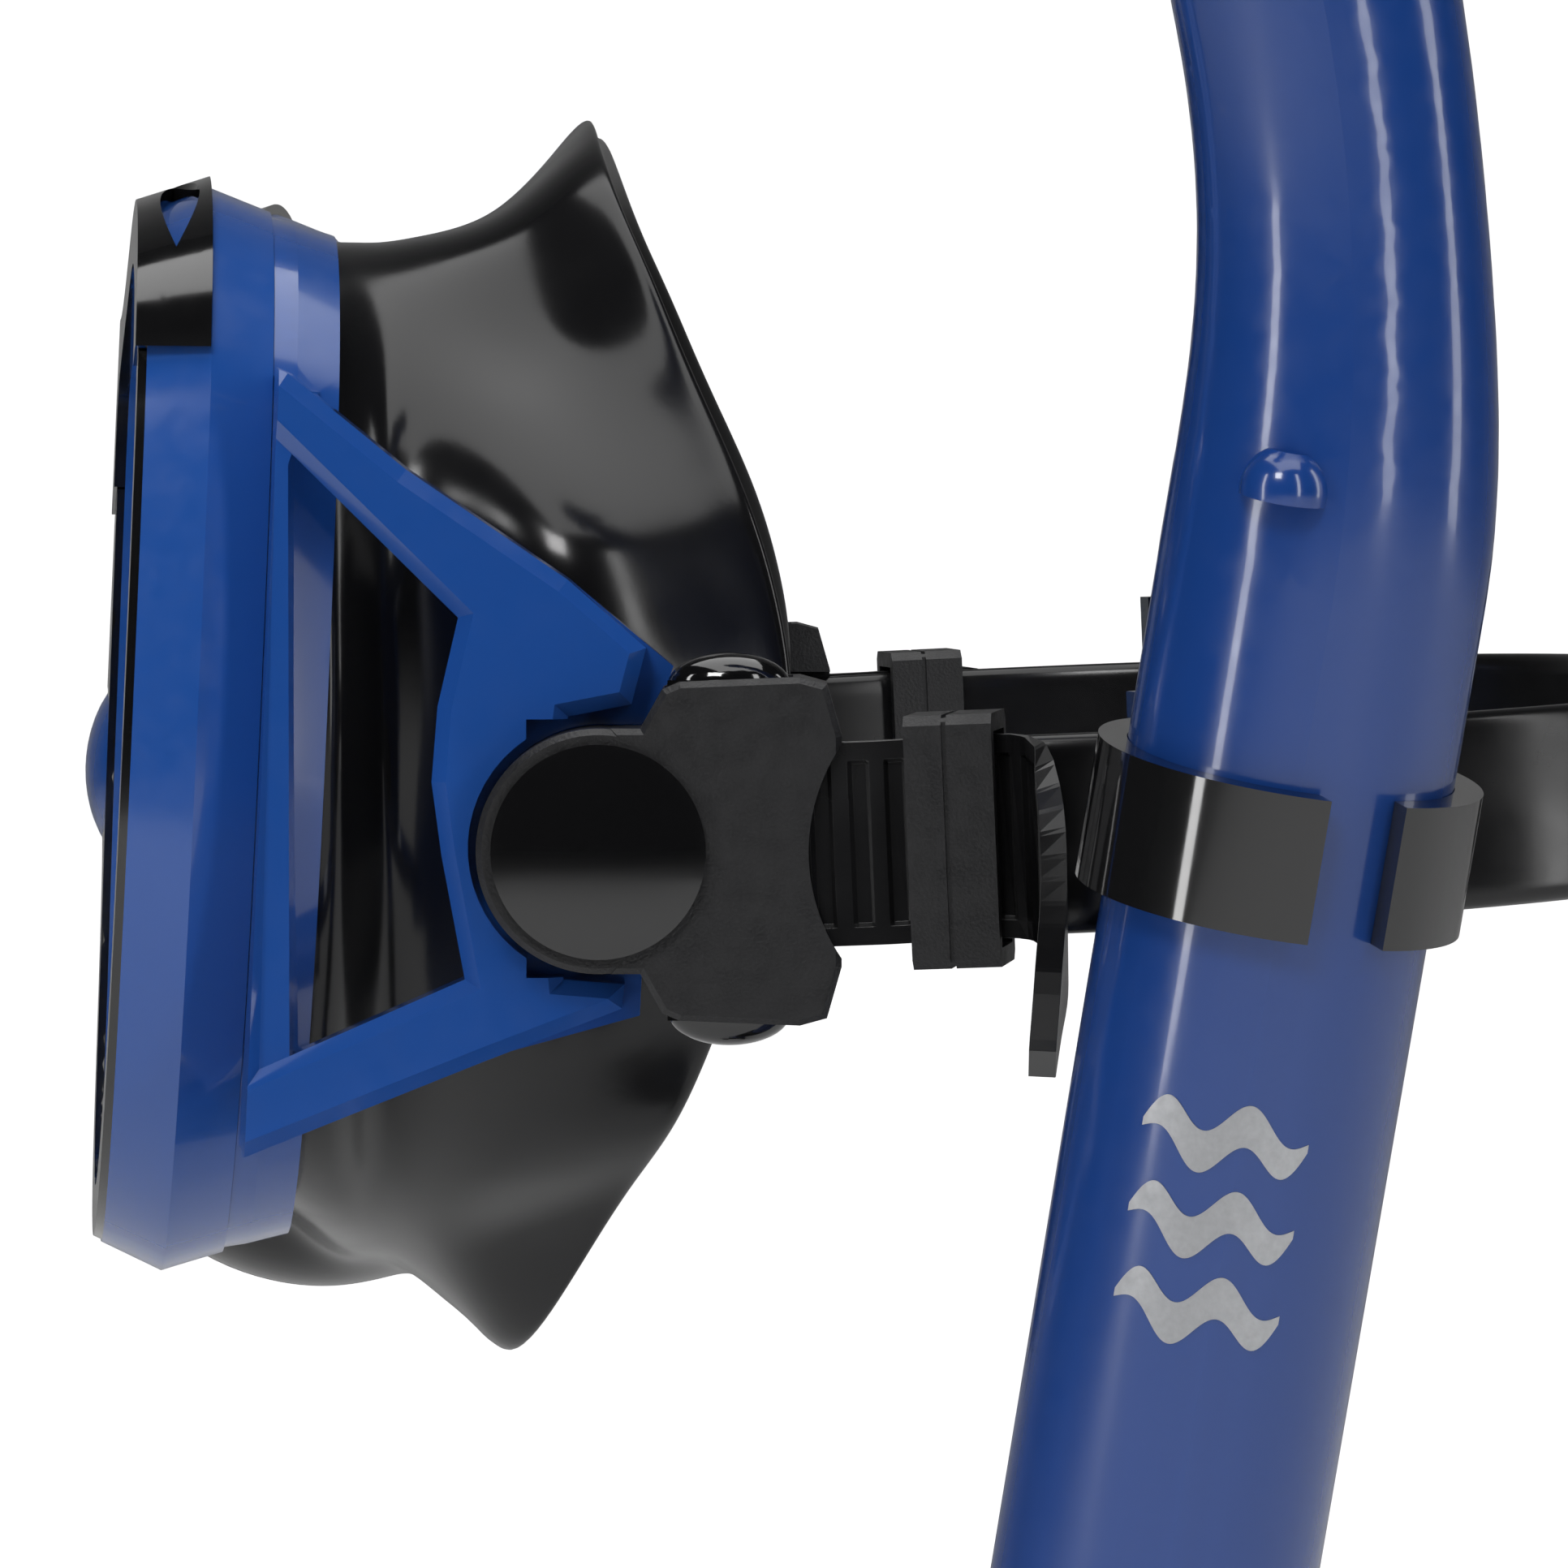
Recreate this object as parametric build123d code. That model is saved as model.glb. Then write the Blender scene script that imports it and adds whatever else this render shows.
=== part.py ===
from build123d import *
import math
import os

os.makedirs("parts", exist_ok=True)

# Snorkel mask. Millimetres, +Z up. The wearer looks along -Y and the wearer's left is +X.
# The origin is the centre of the face seal's opening.

# ---- mask body ----
MASK_TILT = -2.7            # rearward lean of the window plane about X, degrees
SWEEP = 5.5                 # each window is turned back by this angle, degrees
FRAME_REAR_Y = -43.9        # rear face of the frame at the centre line
FRAME_DEPTH = 10.5          # front to rear of the frame
RIDGE_DEPTH = 5.2           # height of the side ridge above the rear face
FRONT_INSET = 2.3           # how far the front facet leans in
REAR_INSET = 1.8            # how far the rear facet leans in
BEZEL = 0.7                 # thickness of the black border on the front face
TRIM = 1.0                  # thickness of the brow trim
LENS_THICK = 3.2
LENS_LAP = 2.0              # how far the glass runs under the frame's lip
LIP = 4.5                   # depth of the frame's lip in front of the rabbet
FLANGE = 2.0                # thickness of the skirt's clamped flange
RING_DEPTH = 3.6            # depth of the rear retaining ring
NOSE_BREAK = 38.0           # the ring is open below the nose up to this distance each side
WALL = 2.0                  # skirt wall
FACE_RADIUS = 110.0         # radius of the upright cylinder that the face seal follows
FACE_APEX_Y = -16.0         # foremost line of that cylinder
NOSE_AT = (0, -37.5, -38.5) # centre of the nose pocket
NOSE_SIZE = (17.0, 21.5, 18.5)

# ---- arms and buckles ----
PIVOT_Y = -8.0
PIVOT_Z = -11.4
PLATE_IN = 80.6             # inner face of the arm's base layer
PLATE_MID = 83.0            # joint between the base layer and the outer layer
PLATE_OUT = 87.6            # outer face of the arm
HUB_R = 10.0                # round end of the buckle
NOTCH_R = 10.8              # C notch of the arm
PIN_R = 4.0
PIN_GAP = 0.05              # running clearance on the pin
BUCKLE_IN = 83.25
ARM_CHAMFER = 1.2
BUCKLE_OUT = 92.4
COVER_IN = 91.55            # inner face of the cover over the roller
BUCKLE_HALF = 14.4          # half height at the shoulders
BUCKLE_RIM = 0.5            # chamfer round the outer face
BASE_END_Y = -1.8           # rear end of the arm's base layer
CAP_R = 8.75
CAP_RISE = 1.9
CAP_CROWN = 1.0             # rise of the cap's dome over its edge
BUTTON_Y = (-2.4, 7.6)      # ends of the button
BUTTON_X = (85.0, 90.4)     # its two faces
BUTTON_WELL = 2.0           # depth of the well under the button's foot
BUTTON_TRAVEL = 1.2
SPRING_WIRE = 0.15          # radius of the spring's wire
SPRING_R = 1.4
SPRING_TURNS = 2

# ---- strap ----
STRAP_W = 16.6
STRAP_T = 2.2
STRAP_Z = -11.2
CHEEK = STRAP_W / 2 + 1.0   # half of the space between the buckle's cheeks
ROLLER_R = 1.5
ROLLER_GAP = 0.45
ROLLER_Y = 3.6
ROLLER_X = 86.4
LEAD_ANGLE = 20.0           # outward heading of the strap as it leaves the buckle, degrees
LEAD = 8.0                  # straight length before the strap starts to bend
LOOP_R = 58.0               # radius of each side of the strap's loop
STRAP_RISE = 2.5            # the loop rises by this angle towards the back, degrees
TAIL_ANGLE = 6.2            # outward heading of the tail, degrees
TAIL_LENGTH = 23.5          # straight length of the tail before it hangs
PAD_HEIGHT = 34.0           # height of the split pad at the back of the head
PAD_SPLIT = 11.0            # height of its slot
KEEPER_L = 7.2              # length along the strap
KEEPER_W = 10.6
KEEPER_H = 20.6
KEEPER_HOLE = (7.4, 17.6)
KEEPER_SEAM = 0.25          # depth of the joint line round the keeper
KEEPER_Y = 21.4
KEEPER_X = 90.4
KEEPER_TURN = 8.0           # turned to follow the strap, degrees
KEEPER_BACK = 2.0           # free slide towards the buckle
KEEPER_ON = 0.6             # free slide away from it

# ---- snorkel ----
TUBE_X = 108.5              # tube axis at the clip
TUBE_Y = 46.4
TUBE_Z = -9.0
TUBE_LEAN_BACK = 8.9        # degrees, top towards the rear
TUBE_LEAN_OUT = 8.0         # degrees, top away from the head
TUBE_R = 13.1
TUBE_TOP_R = 11.2
TUBE_WALL = 1.5
BEND_R = 136.0
BEND_START = 20.0           # distance from the clip up to the start of the bend
BEND_ANGLE = 30.0
TUBE_DOWN = 82.0            # distance from the clip down to the barrel's lower end
CLIP_H = 11.5
CLIP_T = 2.3
CLIP_GAP = 0.06
CLIP_ANGLE = 12.0           # place of the clip round the strap's loop, degrees
CLIP_PLATE_OUT = 3.3        # distance of its back plate from the strap's middle
CLIP_LENGTH = 15.5          # length of the back plate along the strap
TOP_STRAIGHT = 62.0         # straight length above the bend
STOP_Z = 28.6               # half-moon stop above the clip
STOP_R = 3.6
STOP_TURN = -24.0           # place of the stop round the barrel, degrees
HOSE_TOP = -TUBE_DOWN + 9.0     # the hose's cuff laps the barrel by 9 mm
HOSE_R = 15.2
HOSE_FOLDS = 8
CUFF = 1.8                  # wall of the hose's cuffs
CHAMBER_Z = -TUBE_DOWN - 46.0   # top of the chamber, on the barrel's axis
CHAMBER_R = 15.5
CHAMBER_H = 40.0
CHAMBER_NECK = 8.2          # length of the neck that the hose's cuff grips
CHAMBER_WALL = 1.8
FOOT_Z = CHAMBER_Z - CHAMBER_H - CHAMBER_NECK
MOUTH_DROP = 26.0           # distance of the mouthpiece below the chamber's top
SPIGOT = (8.0, 12.0)        # half sizes of the oval stub under the mouthpiece
SPIGOT_GAP = 0.05
COLLAR = (10.2, 14.2)       # half sizes of the mouthpiece's neck

# ---- dry top ----
DRY_R = 17.5
DRY_WALL = 1.8
CHIMNEY_TOP = 17.0
HINGE_Y = 13.2
HINGE_Z = 18.4
HINGE_PIN_R = 0.7
FLAP_OPEN = 30.0            # degrees
FLOAT_TRAVEL = 1.4

SIDES = {"left": 1, "right": -1}


def save(shape, name):
    """Write one sub-part."""
    export_step(shape, f"parts/{name}.step")


def both_sides(solid, name):
    """Write a left sub-part and its mirror image."""
    save(solid, f"{name}_left")
    save(mirror(solid, about=Plane.YZ), f"{name}_right")


def keep_positive_x(shape):
    return shape & Pos(150, 0, 0) * Box(300, 600, 600)


def whole(half):
    """Join a left half with its mirror image across the centre plane."""
    half = keep_positive_x(half)
    return half + mirror(half, about=Plane.YZ)


# ---------------------------------------------------------------- window plane
turned_back = math.radians(SWEEP)
OUTWARD = Vector(math.cos(turned_back), math.sin(turned_back), 0)
FORWARD = Vector(math.sin(turned_back), -math.cos(turned_back), 0)


def window_plane(depth):
    """Plane of the left window, depth measured forward from the frame's rear face."""
    return Plane(Vector(0, FRAME_REAR_Y, 0) + FORWARD * depth, x_dir=OUTWARD, z_dir=FORWARD)


def tilt(shape):
    """Lean the window plane back about the middle of the frame's rear face."""
    return Pos(0, FRAME_REAR_Y, 0) * Rot(MASK_TILT, 0, 0) * Pos(0, -FRAME_REAR_Y, 0) * shape


FRAME_LINE = [(-2, 33.6), (12, 35.0), (30, 40.0), (48, 43.6), (64, 40.5), (76, 30.5), (81.4, 14), (82.4, -1),
              (80.6, -18), (73, -34.5), (60, -45.8), (43, -50.4), (30, -46.6), (21.5, -36.5), (15, -25.5),
              (8, -19.0), (-2, -17.6)]
WINDOW_LINE = [(9, 27.0), (20, 30.0), (34, 33.6), (48, 36.4), (61, 33.6), (70.5, 25), (74.6, 12), (75.4, -1),
               (73.6, -16), (67.0, -29.5), (56.5, -38.8), (43.5, -43.0), (34.0, -39.8), (27.5, -31.5),
               (21.5, -20.5), (13.5, -9), (9, 5)]


def moved_in(points, inset, closed):
    """Shift each point of an outline along its inward normal."""
    moved = []
    count = len(points)
    for i, (u, v) in enumerate(points):
        before = points[(i - 1) % count] if closed or i > 0 else points[i]
        after = points[(i + 1) % count] if closed or i < count - 1 else points[i]
        du, dv = after[0] - before[0], after[1] - before[1]
        size = math.hypot(du, dv)
        moved.append((u + inset * dv / size, v - inset * du / size))
    if not closed:
        moved[0] = (points[0][0], moved[0][1])
        moved[-1] = (points[-1][0], moved[-1][1])
    return moved


def frame_face(depth, inset):
    """Face of the left half of the frame's outline at one depth."""
    points = moved_in(FRAME_LINE, inset, False)
    edge = Spline(*points)
    return window_plane(depth) * make_face([edge, Line(points[-1], points[0])])


def window_face(depth, inset):
    points = moved_in(WINDOW_LINE, inset, True)
    return window_plane(depth) * make_face(Spline(*points, periodic=True))


def slab(depth_0, inset_0, depth_1, inset_1):
    """Solid between two sizes of the frame's outline."""
    if abs(inset_0 - inset_1) < 1e-6:
        return extrude(frame_face(depth_0, inset_0), depth_1 - depth_0, dir=FORWARD)
    return loft([frame_face(depth_0, inset_0), frame_face(depth_1, inset_1)], ruled=True)


def window_cut(depth_0, depth_1, inset):
    return extrude(window_face(depth_0, inset), depth_1 - depth_0, dir=FORWARD)


def trim_region(drop):
    """Upper part of the frame that the brow trim covers."""
    lower = [(-2, 14 - drop), (10, 19 - drop), (40, 22 - drop), (66, 27 - drop), (73, 29.5 - drop),
             (90, 31.0 - drop)]
    outline = Polyline(*lower, (90, 60), (-2, 60), close=True)
    return extrude(window_plane(RIDGE_DEPTH + 0.05) * make_face(outline), 20, dir=FORWARD)


def front_frame():
    body = slab(0, REAR_INSET, RIDGE_DEPTH, 0) + slab(RIDGE_DEPTH, 0, FRAME_DEPTH, FRONT_INSET)
    body -= window_cut(-1, FRAME_DEPTH + 1, 0)
    body -= window_cut(-1, FRAME_DEPTH - LIP, -LENS_LAP - 0.4)
    bump = Pos(0, -47.2, -8.6) * scale(Sphere(1), by=(13, 9.6, 11.5))
    bump &= Pos(0, -50 - 44, 0) * Box(60, 100, 60)
    bump -= window_cut(-1, FRAME_DEPTH + 9, -0.1)
    bump -= window_cut(-1, FRAME_DEPTH - LIP, -LENS_LAP - 0.4)
    return tilt(whole(body + keep_positive_x(bump)))


def front_bezel():
    ring = slab(FRAME_DEPTH, FRONT_INSET + 0.2, FRAME_DEPTH + BEZEL, FRONT_INSET + 0.5)
    ring -= window_cut(FRAME_DEPTH - 1, FRAME_DEPTH + 2, -0.2)
    ring -= trim_region(0.3)
    bump = Pos(0, -47.2, -8.6) * scale(Sphere(1), by=(13.3, 9.9, 11.8))
    return tilt(whole(ring - bump))


def brow_trim():
    cover = slab(RIDGE_DEPTH + 0.1, -TRIM, FRAME_DEPTH + TRIM, FRONT_INSET - TRIM)
    cover -= slab(RIDGE_DEPTH, 0, FRAME_DEPTH, FRONT_INSET)
    cover -= window_cut(0, FRAME_DEPTH + 3, -0.4)
    cover &= trim_region(0)
    almond_plane = Plane(window_plane(8.3).from_local_coords(Vector(58, 26, 0)), x_dir=OUTWARD,
                         z_dir=Vector(0, 0, 1))
    almond = extrude(almond_plane * make_face([ThreePointArc((-10, 0), (0, 2.0), (10, 0)),
                                               ThreePointArc((-10, 0), (0, -1.3), (10, 0))]), 30)
    return tilt(whole(cover - almond))


def lens():
    glass = extrude(window_face(FRAME_DEPTH - LIP - LENS_THICK, -LENS_LAP), LENS_THICK, dir=FORWARD)
    return tilt(glass)


# ---------------------------------------------------------------- skirt
def ring_face(y, half_points):
    """Closed outline in a plane across the mask, from its left half."""
    right = [(-x, z) for x, z in reversed(half_points[1:-1])]
    outline = Spline(*half_points, *right, periodic=True)
    return Plane((0, y, 0), x_dir=(1, 0, 0), z_dir=(0, -1, 0)) * make_face(outline)


SKIRT_FRONT = [(0, 25), (30, 31), (48, 34.2), (62, 30.5), (71.0, 18), (72.6, 0), (68.5, -19), (58, -34),
               (42, -41), (22, -41), (0, -41)]
SKIRT_WAIST = [(0, 36), (28, 40.0), (48, 37.5), (63, 27), (71.5, 10), (71, -9), (63, -27), (47, -41.5),
               (30, -50), (15, -54), (0, -54)]
SKIRT_REAR = [(0, 60), (20, 62), (48, 53), (63, 34), (69.8, 11), (68.4, -9), (62, -34), (51, -53),
              (37, -68), (20, -80), (0, -75)]


def skirt_form(inset):
    faces = [ring_face(-47, moved_in(SKIRT_FRONT, inset, False)),
             ring_face(-24, moved_in(SKIRT_WAIST, inset, False)),
             ring_face(14, moved_in(SKIRT_REAR, inset, False))]
    return loft(faces)


def nose_form(inset):
    sizes = tuple(size - inset for size in NOSE_SIZE)
    return Pos(*NOSE_AT) * scale(Sphere(1), by=sizes)


def ahead_of(depth):
    """Everything in front of a depth in the window planes."""
    block = extrude(window_plane(depth) * Rectangle(400, 300), 200, dir=FORWARD)
    return whole(block)


def skirt():
    walls = tilt(skirt_form(0) - ahead_of(-0.2))
    flange = slab(-FLANGE, 4.6, -0.05, 4.6) - window_cut(-FLANGE - 1, 2, 0.4)
    lip = window_cut(-FLANGE, FRAME_DEPTH - LIP - LENS_THICK - 0.05, -LENS_LAP - 0.1)
    lip -= window_cut(-FLANGE - 1, 9, 0.4)
    front = tilt(whole(flange + lip))
    hollow = tilt(skirt_form(WALL) - ahead_of(-FLANGE))
    body = walls + nose_form(0) - hollow - nose_form(WALL)
    body += front - nose_form(0)
    face = Pos(0, FACE_APEX_Y + FACE_RADIUS, 0) * Cylinder(FACE_RADIUS, 300)
    return body - face


# ---------------------------------------------------------------- rear ring with its arms
PIVOT = Vector(0, PIVOT_Y, PIVOT_Z)
ARM_LINE = [(-37.0, 29.0), (-33.5, 27.5), (-23.8, 19.6), (-10.6, 10.6), (-4.2, 5.0), (-5.4, 0.4),
            (-10.6, -0.6), (-12, -11.4), (-11.0, -22.2), (-6.0, -22.6), (-6.2, -24.6), (-17.4, -28.9),
            (-37.6, -37.0), (-40.0, -37.6)]
BASE_LINE = [(-37.0, 29.0), (-33.5, 27.5), (-23.8, 19.6), (-10.6, 10.6), (-2.0, 3.4), (-3.6, -1.0),
             (-10.6, -2.4), (-12, -11.4), (-11.0, -20.6), (-4.6, -21.4), (-4.8, -25.4), (-17.4, -28.9),
             (-37.6, -37.0), (-40.0, -37.6)]
HOLE_LINE = [(-34.5, 22.2), (-19.6, 7.5), (-21.3, 0.2), (-21.8, -6.0), (-21.0, -12), (-19.1, -22.2),
             (-36.0, -29.6)]


def side_face(points, x):
    """Closed outline drawn in side view at one distance from the centre plane."""
    return Plane((x, 0, 0), x_dir=(0, 1, 0), z_dir=(1, 0, 0)) * make_face(Polyline(*points, close=True))


def turned_cylinder(radius, x_0, x_1, y=PIVOT_Y, z=PIVOT_Z):
    """Cylinder along X between two distances from the centre plane."""
    return Pos((x_0 + x_1) / 2, y, z) * Rot(0, 90, 0) * Cylinder(radius, x_1 - x_0)


def arm():
    shoulder = PLATE_OUT - ARM_CHAMFER
    outer = extrude(side_face(ARM_LINE, PLATE_MID) - side_face(HOLE_LINE, PLATE_MID), shoulder - PLATE_MID)
    outer += extrude(side_face(ARM_LINE, shoulder) - side_face(HOLE_LINE, shoulder), ARM_CHAMFER, taper=45)
    outer -= turned_cylinder(NOTCH_R, PLATE_MID - 1, PLATE_OUT + 1)
    outer -= window_box(PLATE_MID - 1, PLATE_OUT + 1, PIVOT_Y - 6, 6, PIVOT_Z - 10.6, PIVOT_Z + 10.6)
    base = extrude(side_face(BASE_LINE, PLATE_IN), PLATE_MID - PLATE_IN)
    base -= extrude(side_face(HOLE_LINE, PLATE_IN - 1), 9)
    base += turned_cylinder(NOTCH_R + 0.4, PLATE_IN, PLATE_MID)
    base -= window_box(PLATE_IN - 1, PLATE_MID + 1, BASE_END_Y, 10, -40, 20)
    web = extrude(side_face([(-40, 29), (-31.5, 26), (-33.5, 20), (-33.5, -28.5), (-31.0, -34), (-40, -37.6)],
                            74), PLATE_OUT - 1.2 - 74)
    return base + outer + web


def rear_frame():
    ring = slab(-FLANGE - RING_DEPTH, 3.6, -FLANGE - 0.05, 2.6)
    ring += slab(-FLANGE - 0.06, 2.6, -0.05, 2.2) - slab(-FLANGE - 1, 4.4, 1, 4.4)
    ring -= slab(-20, 8.0, 5, 8.0)
    ring -= skirt_form(-0.3)
    ring -= Pos(0, 0, -100) * Box(2 * NOSE_BREAK, 300, 200)
    side = arm() - tilt(ahead_of(-0.05)) - tilt(slab(-20, 8.0, 5, 8.0))
    side -= tilt(slab(-FLANGE - 0.1, 4.4, 2, 4.4))
    half = tilt(ring) + side
    half -= turned_cylinder(PIN_R, PLATE_IN - 1, PLATE_MID + 1)
    return whole(half)


# ---------------------------------------------------------------- buckle
def buckle_pivot():
    shaft = turned_cylinder(PIN_R, PLATE_IN, 90.0)
    head = turned_cylinder(6.0, PLATE_IN - 1.4, PLATE_IN)
    return chamfer(shaft.edges().sort_by(Axis.X)[-1], 0.4) + head


def window_box(x_0, x_1, y_0, y_1, z_0, z_1):
    return Pos((x_0 + x_1) / 2, (y_0 + y_1) / 2, (z_0 + z_1) / 2) * Box(x_1 - x_0, y_1 - y_0, z_1 - z_0)


def buckle_body():
    mid = PIVOT_Z
    top = [(-7.0, mid + 10.0), (-4.6, mid + 10.0), (-2.8, mid + BUCKLE_HALF - 1.2),
           (-1.4, mid + BUCKLE_HALF - 0.6), (8.4, mid + BUCKLE_HALF - 0.2), (10.6, mid + BUCKLE_HALF - 0.8),
           (11.8, mid + 9.4)]
    low = [(y, 2 * mid - z) for y, z in reversed(top)]
    body = extrude(side_face(top + low, BUCKLE_IN), BUCKLE_OUT - BUCKLE_IN)
    body += turned_cylinder(HUB_R, BUCKLE_IN, BUCKLE_OUT)
    rim = body.edges().filter_by(lambda e: abs(e.center().X - BUCKLE_OUT) < 0.01)
    body = chamfer(rim, BUCKLE_RIM)
    body -= turned_cylinder(15.5, BUCKLE_IN - 1, BUCKLE_OUT + 1, 24.6, mid)
    body -= turned_cylinder(PIN_R + PIN_GAP, BUCKLE_IN - 1, 90.2)
    body -= window_box(BUCKLE_IN - 1, COVER_IN, -1.2, 14, mid - CHEEK, mid + CHEEK)
    for way in (1, -1):
        seat = mid + way * (BUCKLE_HALF - 2.1)
        pocket = window_box(BUTTON_X[0] - 0.25, BUTTON_X[1] + 0.25, BUTTON_Y[0] - 0.25, BUTTON_Y[1] + 0.25,
                            *sorted((seat - BUTTON_WELL * way, seat + 2.7 * way)))
        body -= pocket
    slots = Pos(ROLLER_X, ROLLER_Y, mid) * Cylinder(1.05, 2 * CHEEK + 1.9)
    return body - slots


def buckle_cap():
    """Low glossy dome that closes the hub."""
    ball_r = (CAP_R ** 2 + CAP_CROWN ** 2) / (2 * CAP_CROWN)
    ball = Pos(0, 0, CAP_RISE - ball_r) * Rot(90, 0, 0) * Sphere(ball_r)
    dome = (Pos(0, 0, CAP_RISE / 2) * Cylinder(CAP_R, CAP_RISE)) & ball
    return Pos(BUCKLE_OUT, PIVOT_Y, PIVOT_Z) * Rot(0, 90, 0) * dome


def button_seat(way):
    return PIVOT_Z + way * (BUCKLE_HALF - 2.1)


def button(way):
    """Oval push button; way is 1 on the top edge and -1 on the underside."""
    seat = button_seat(way)
    low, high = sorted((seat - 0.4 * way, seat + 1.6 * way))
    base = window_box(*BUTTON_X, *BUTTON_Y, low, high)
    middle = Pos(sum(BUTTON_X) / 2, sum(BUTTON_Y) / 2, seat + 1.2 * way)
    crown = middle * scale(Sphere(1), by=(2.7, 5.0, 2.6))
    low, high = sorted((seat, seat + 6 * way))
    return base + (crown & window_box(80, 95, -9, 15, low, high))


def half_turn(radius, start, tilt):
    """Half a turn of the spring's wire about Z, tipped about Y."""
    section = Plane.XZ * Pos(start * radius, 0) * Circle(SPRING_WIRE)
    return Rot(0, -tilt, 0) * revolve(section, Axis.Z, 180)


def button_spring(way):
    """Small coil spring under a button, wound in level and rising half turns."""
    seat = button_seat(way)
    low, high = sorted((seat - BUTTON_WELL * way, seat - 0.4 * way))
    pitch = (high - low - 2 * SPRING_WIRE - 0.04) / SPRING_TURNS
    slope = math.degrees(math.atan(pitch / 2 / SPRING_R))
    coil = half_turn(SPRING_R, 1, 0)
    for i in range(SPRING_TURNS):
        coil += Pos(0, 0, pitch * (i + 0.5)) * half_turn(math.hypot(SPRING_R, pitch / 2), -1, slope)
        coil += Pos(0, 0, pitch * (i + 1)) * half_turn(SPRING_R, 1, 0)
    return Pos(sum(BUTTON_X) / 2, sum(BUTTON_Y) / 2, low + SPRING_WIRE + 0.02) * coil


def strap_roller():
    barrel = Pos(ROLLER_X, ROLLER_Y, PIVOT_Z) * Cylinder(ROLLER_R, 2 * CHEEK - 0.6)
    ends = Pos(ROLLER_X, ROLLER_Y, PIVOT_Z) * Cylinder(1.0, 2 * CHEEK + 1.7)
    return barrel + ends


# ---------------------------------------------------------------- strap
lead = math.radians(LEAD_ANGLE)
WRAP_R = ROLLER_R + STRAP_T / 2 + ROLLER_GAP
LEAVE = Vector(ROLLER_X - WRAP_R * math.cos(lead), ROLLER_Y + WRAP_R * math.sin(lead), 0)
BEND_AT = LEAVE + Vector(math.sin(lead), math.cos(lead), 0) * LEAD
LOOP_X = BEND_AT.X - LOOP_R * math.cos(lead)
LOOP_Y = BEND_AT.Y + LOOP_R * math.sin(lead)


def loop_point(angle, radius=LOOP_R):
    """Point on the side of the strap's loop; 0 degrees is the widest place."""
    turn = math.radians(angle)
    return Vector(LOOP_X + radius * math.cos(turn), LOOP_Y + radius * math.sin(turn), 0)


def rise(shape):
    """Tip the strap and what it carries upwards to the rear about the rollers' line."""
    return Pos(0, ROLLER_Y, STRAP_Z) * Rot(STRAP_RISE, 0, 0) * Pos(0, -ROLLER_Y, -STRAP_Z) * shape


def thicken_line(edges, thickness):
    """Flat band of the strap's width along a planar chain of tangent edges."""
    line = Wire(edges)
    start = Plane(line @ 0, z_dir=line % 0, x_dir=(0, 0, 1))
    section = start * Rectangle(STRAP_W, thickness)
    return sweep(section, path=line)


tail = math.radians(TAIL_ANGLE)
TAIL_LEAVE = Vector(ROLLER_X + WRAP_R * math.cos(tail), ROLLER_Y - WRAP_R * math.sin(tail), 0)
TAIL_END = TAIL_LEAVE + Vector(math.sin(tail), math.cos(tail), 0) * TAIL_LENGTH


def strap():
    z = STRAP_Z
    lift = Vector(0, 0, z)
    wrap_mid = Vector(ROLLER_X, ROLLER_Y - WRAP_R, 0)
    half = [Line(TAIL_END + lift, TAIL_LEAVE + lift),
            ThreePointArc(TAIL_LEAVE + lift, wrap_mid + lift, LEAVE + lift),
            Line(LEAVE + lift, BEND_AT + lift),
            ThreePointArc(BEND_AT + lift, loop_point(30) + lift, loop_point(90) + lift),
            Line(loop_point(90) + lift, Vector(-1, LOOP_Y + LOOP_R, z))]
    side = thicken_line(half, STRAP_T)
    hanging = tail_flap()
    side += hanging
    pad_y = LOOP_Y + LOOP_R
    upright = Pos(0, pad_y, z) * Rot(90, 0, 0)
    pad = upright * extrude(SlotOverall(2 * LOOP_X + 16, PAD_HEIGHT), STRAP_T / 2, both=True)
    split = upright * extrude(SlotOverall(2 * LOOP_X - 14, PAD_SPLIT), 5, both=True)
    return rise(whole(side + keep_positive_x(pad)) - split)


def tail_flap():
    """Free end of the strap, bent outwards and hanging down."""
    a = Plane(TAIL_END + Vector(0, -0.4, STRAP_Z), x_dir=(0, 0, 1), z_dir=(math.sin(tail), math.cos(tail), 0))
    b = Plane(TAIL_END + Vector(2.4, 2.2, STRAP_Z - 2.5), x_dir=(0.45, 0, 0.89), z_dir=(0.75, 0.55, -0.38))
    c = Plane(TAIL_END + Vector(5.6, 1.6, STRAP_Z - 11), x_dir=(0.8, 0, 0.6), z_dir=(0.6, -0.05, -0.8))
    d = Plane(TAIL_END + Vector(7.6, 0.6, STRAP_Z - 17), x_dir=(0.9, 0, 0.44), z_dir=(0.4, -0.1, -0.9))
    sections = [a * Rectangle(STRAP_W, STRAP_T), b * Rectangle(STRAP_W - 0.5, STRAP_T),
                c * Rectangle(STRAP_W - 3, STRAP_T), d * Rectangle(STRAP_W - 8, STRAP_T)]
    return loft(sections, ruled=True)


def keeper():
    """Two-part loop that holds the tail on the strap."""
    where = Pos(KEEPER_X, KEEPER_Y, STRAP_Z) * Rot(0, 0, -KEEPER_TURN)
    block = Box(KEEPER_W, KEEPER_L, KEEPER_H)
    block = chamfer(block.edges().filter_by(Axis.Y), 0.8)
    seam = Box(KEEPER_W + 2, 0.4, KEEPER_H + 2)
    seam -= Box(KEEPER_W - 2 * KEEPER_SEAM, 1, KEEPER_H - 2 * KEEPER_SEAM)
    block -= Pos(0, -0.3, 0) * seam
    block -= Box(KEEPER_HOLE[0], KEEPER_L + 2, KEEPER_HOLE[1])
    return rise(where * block)


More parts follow.
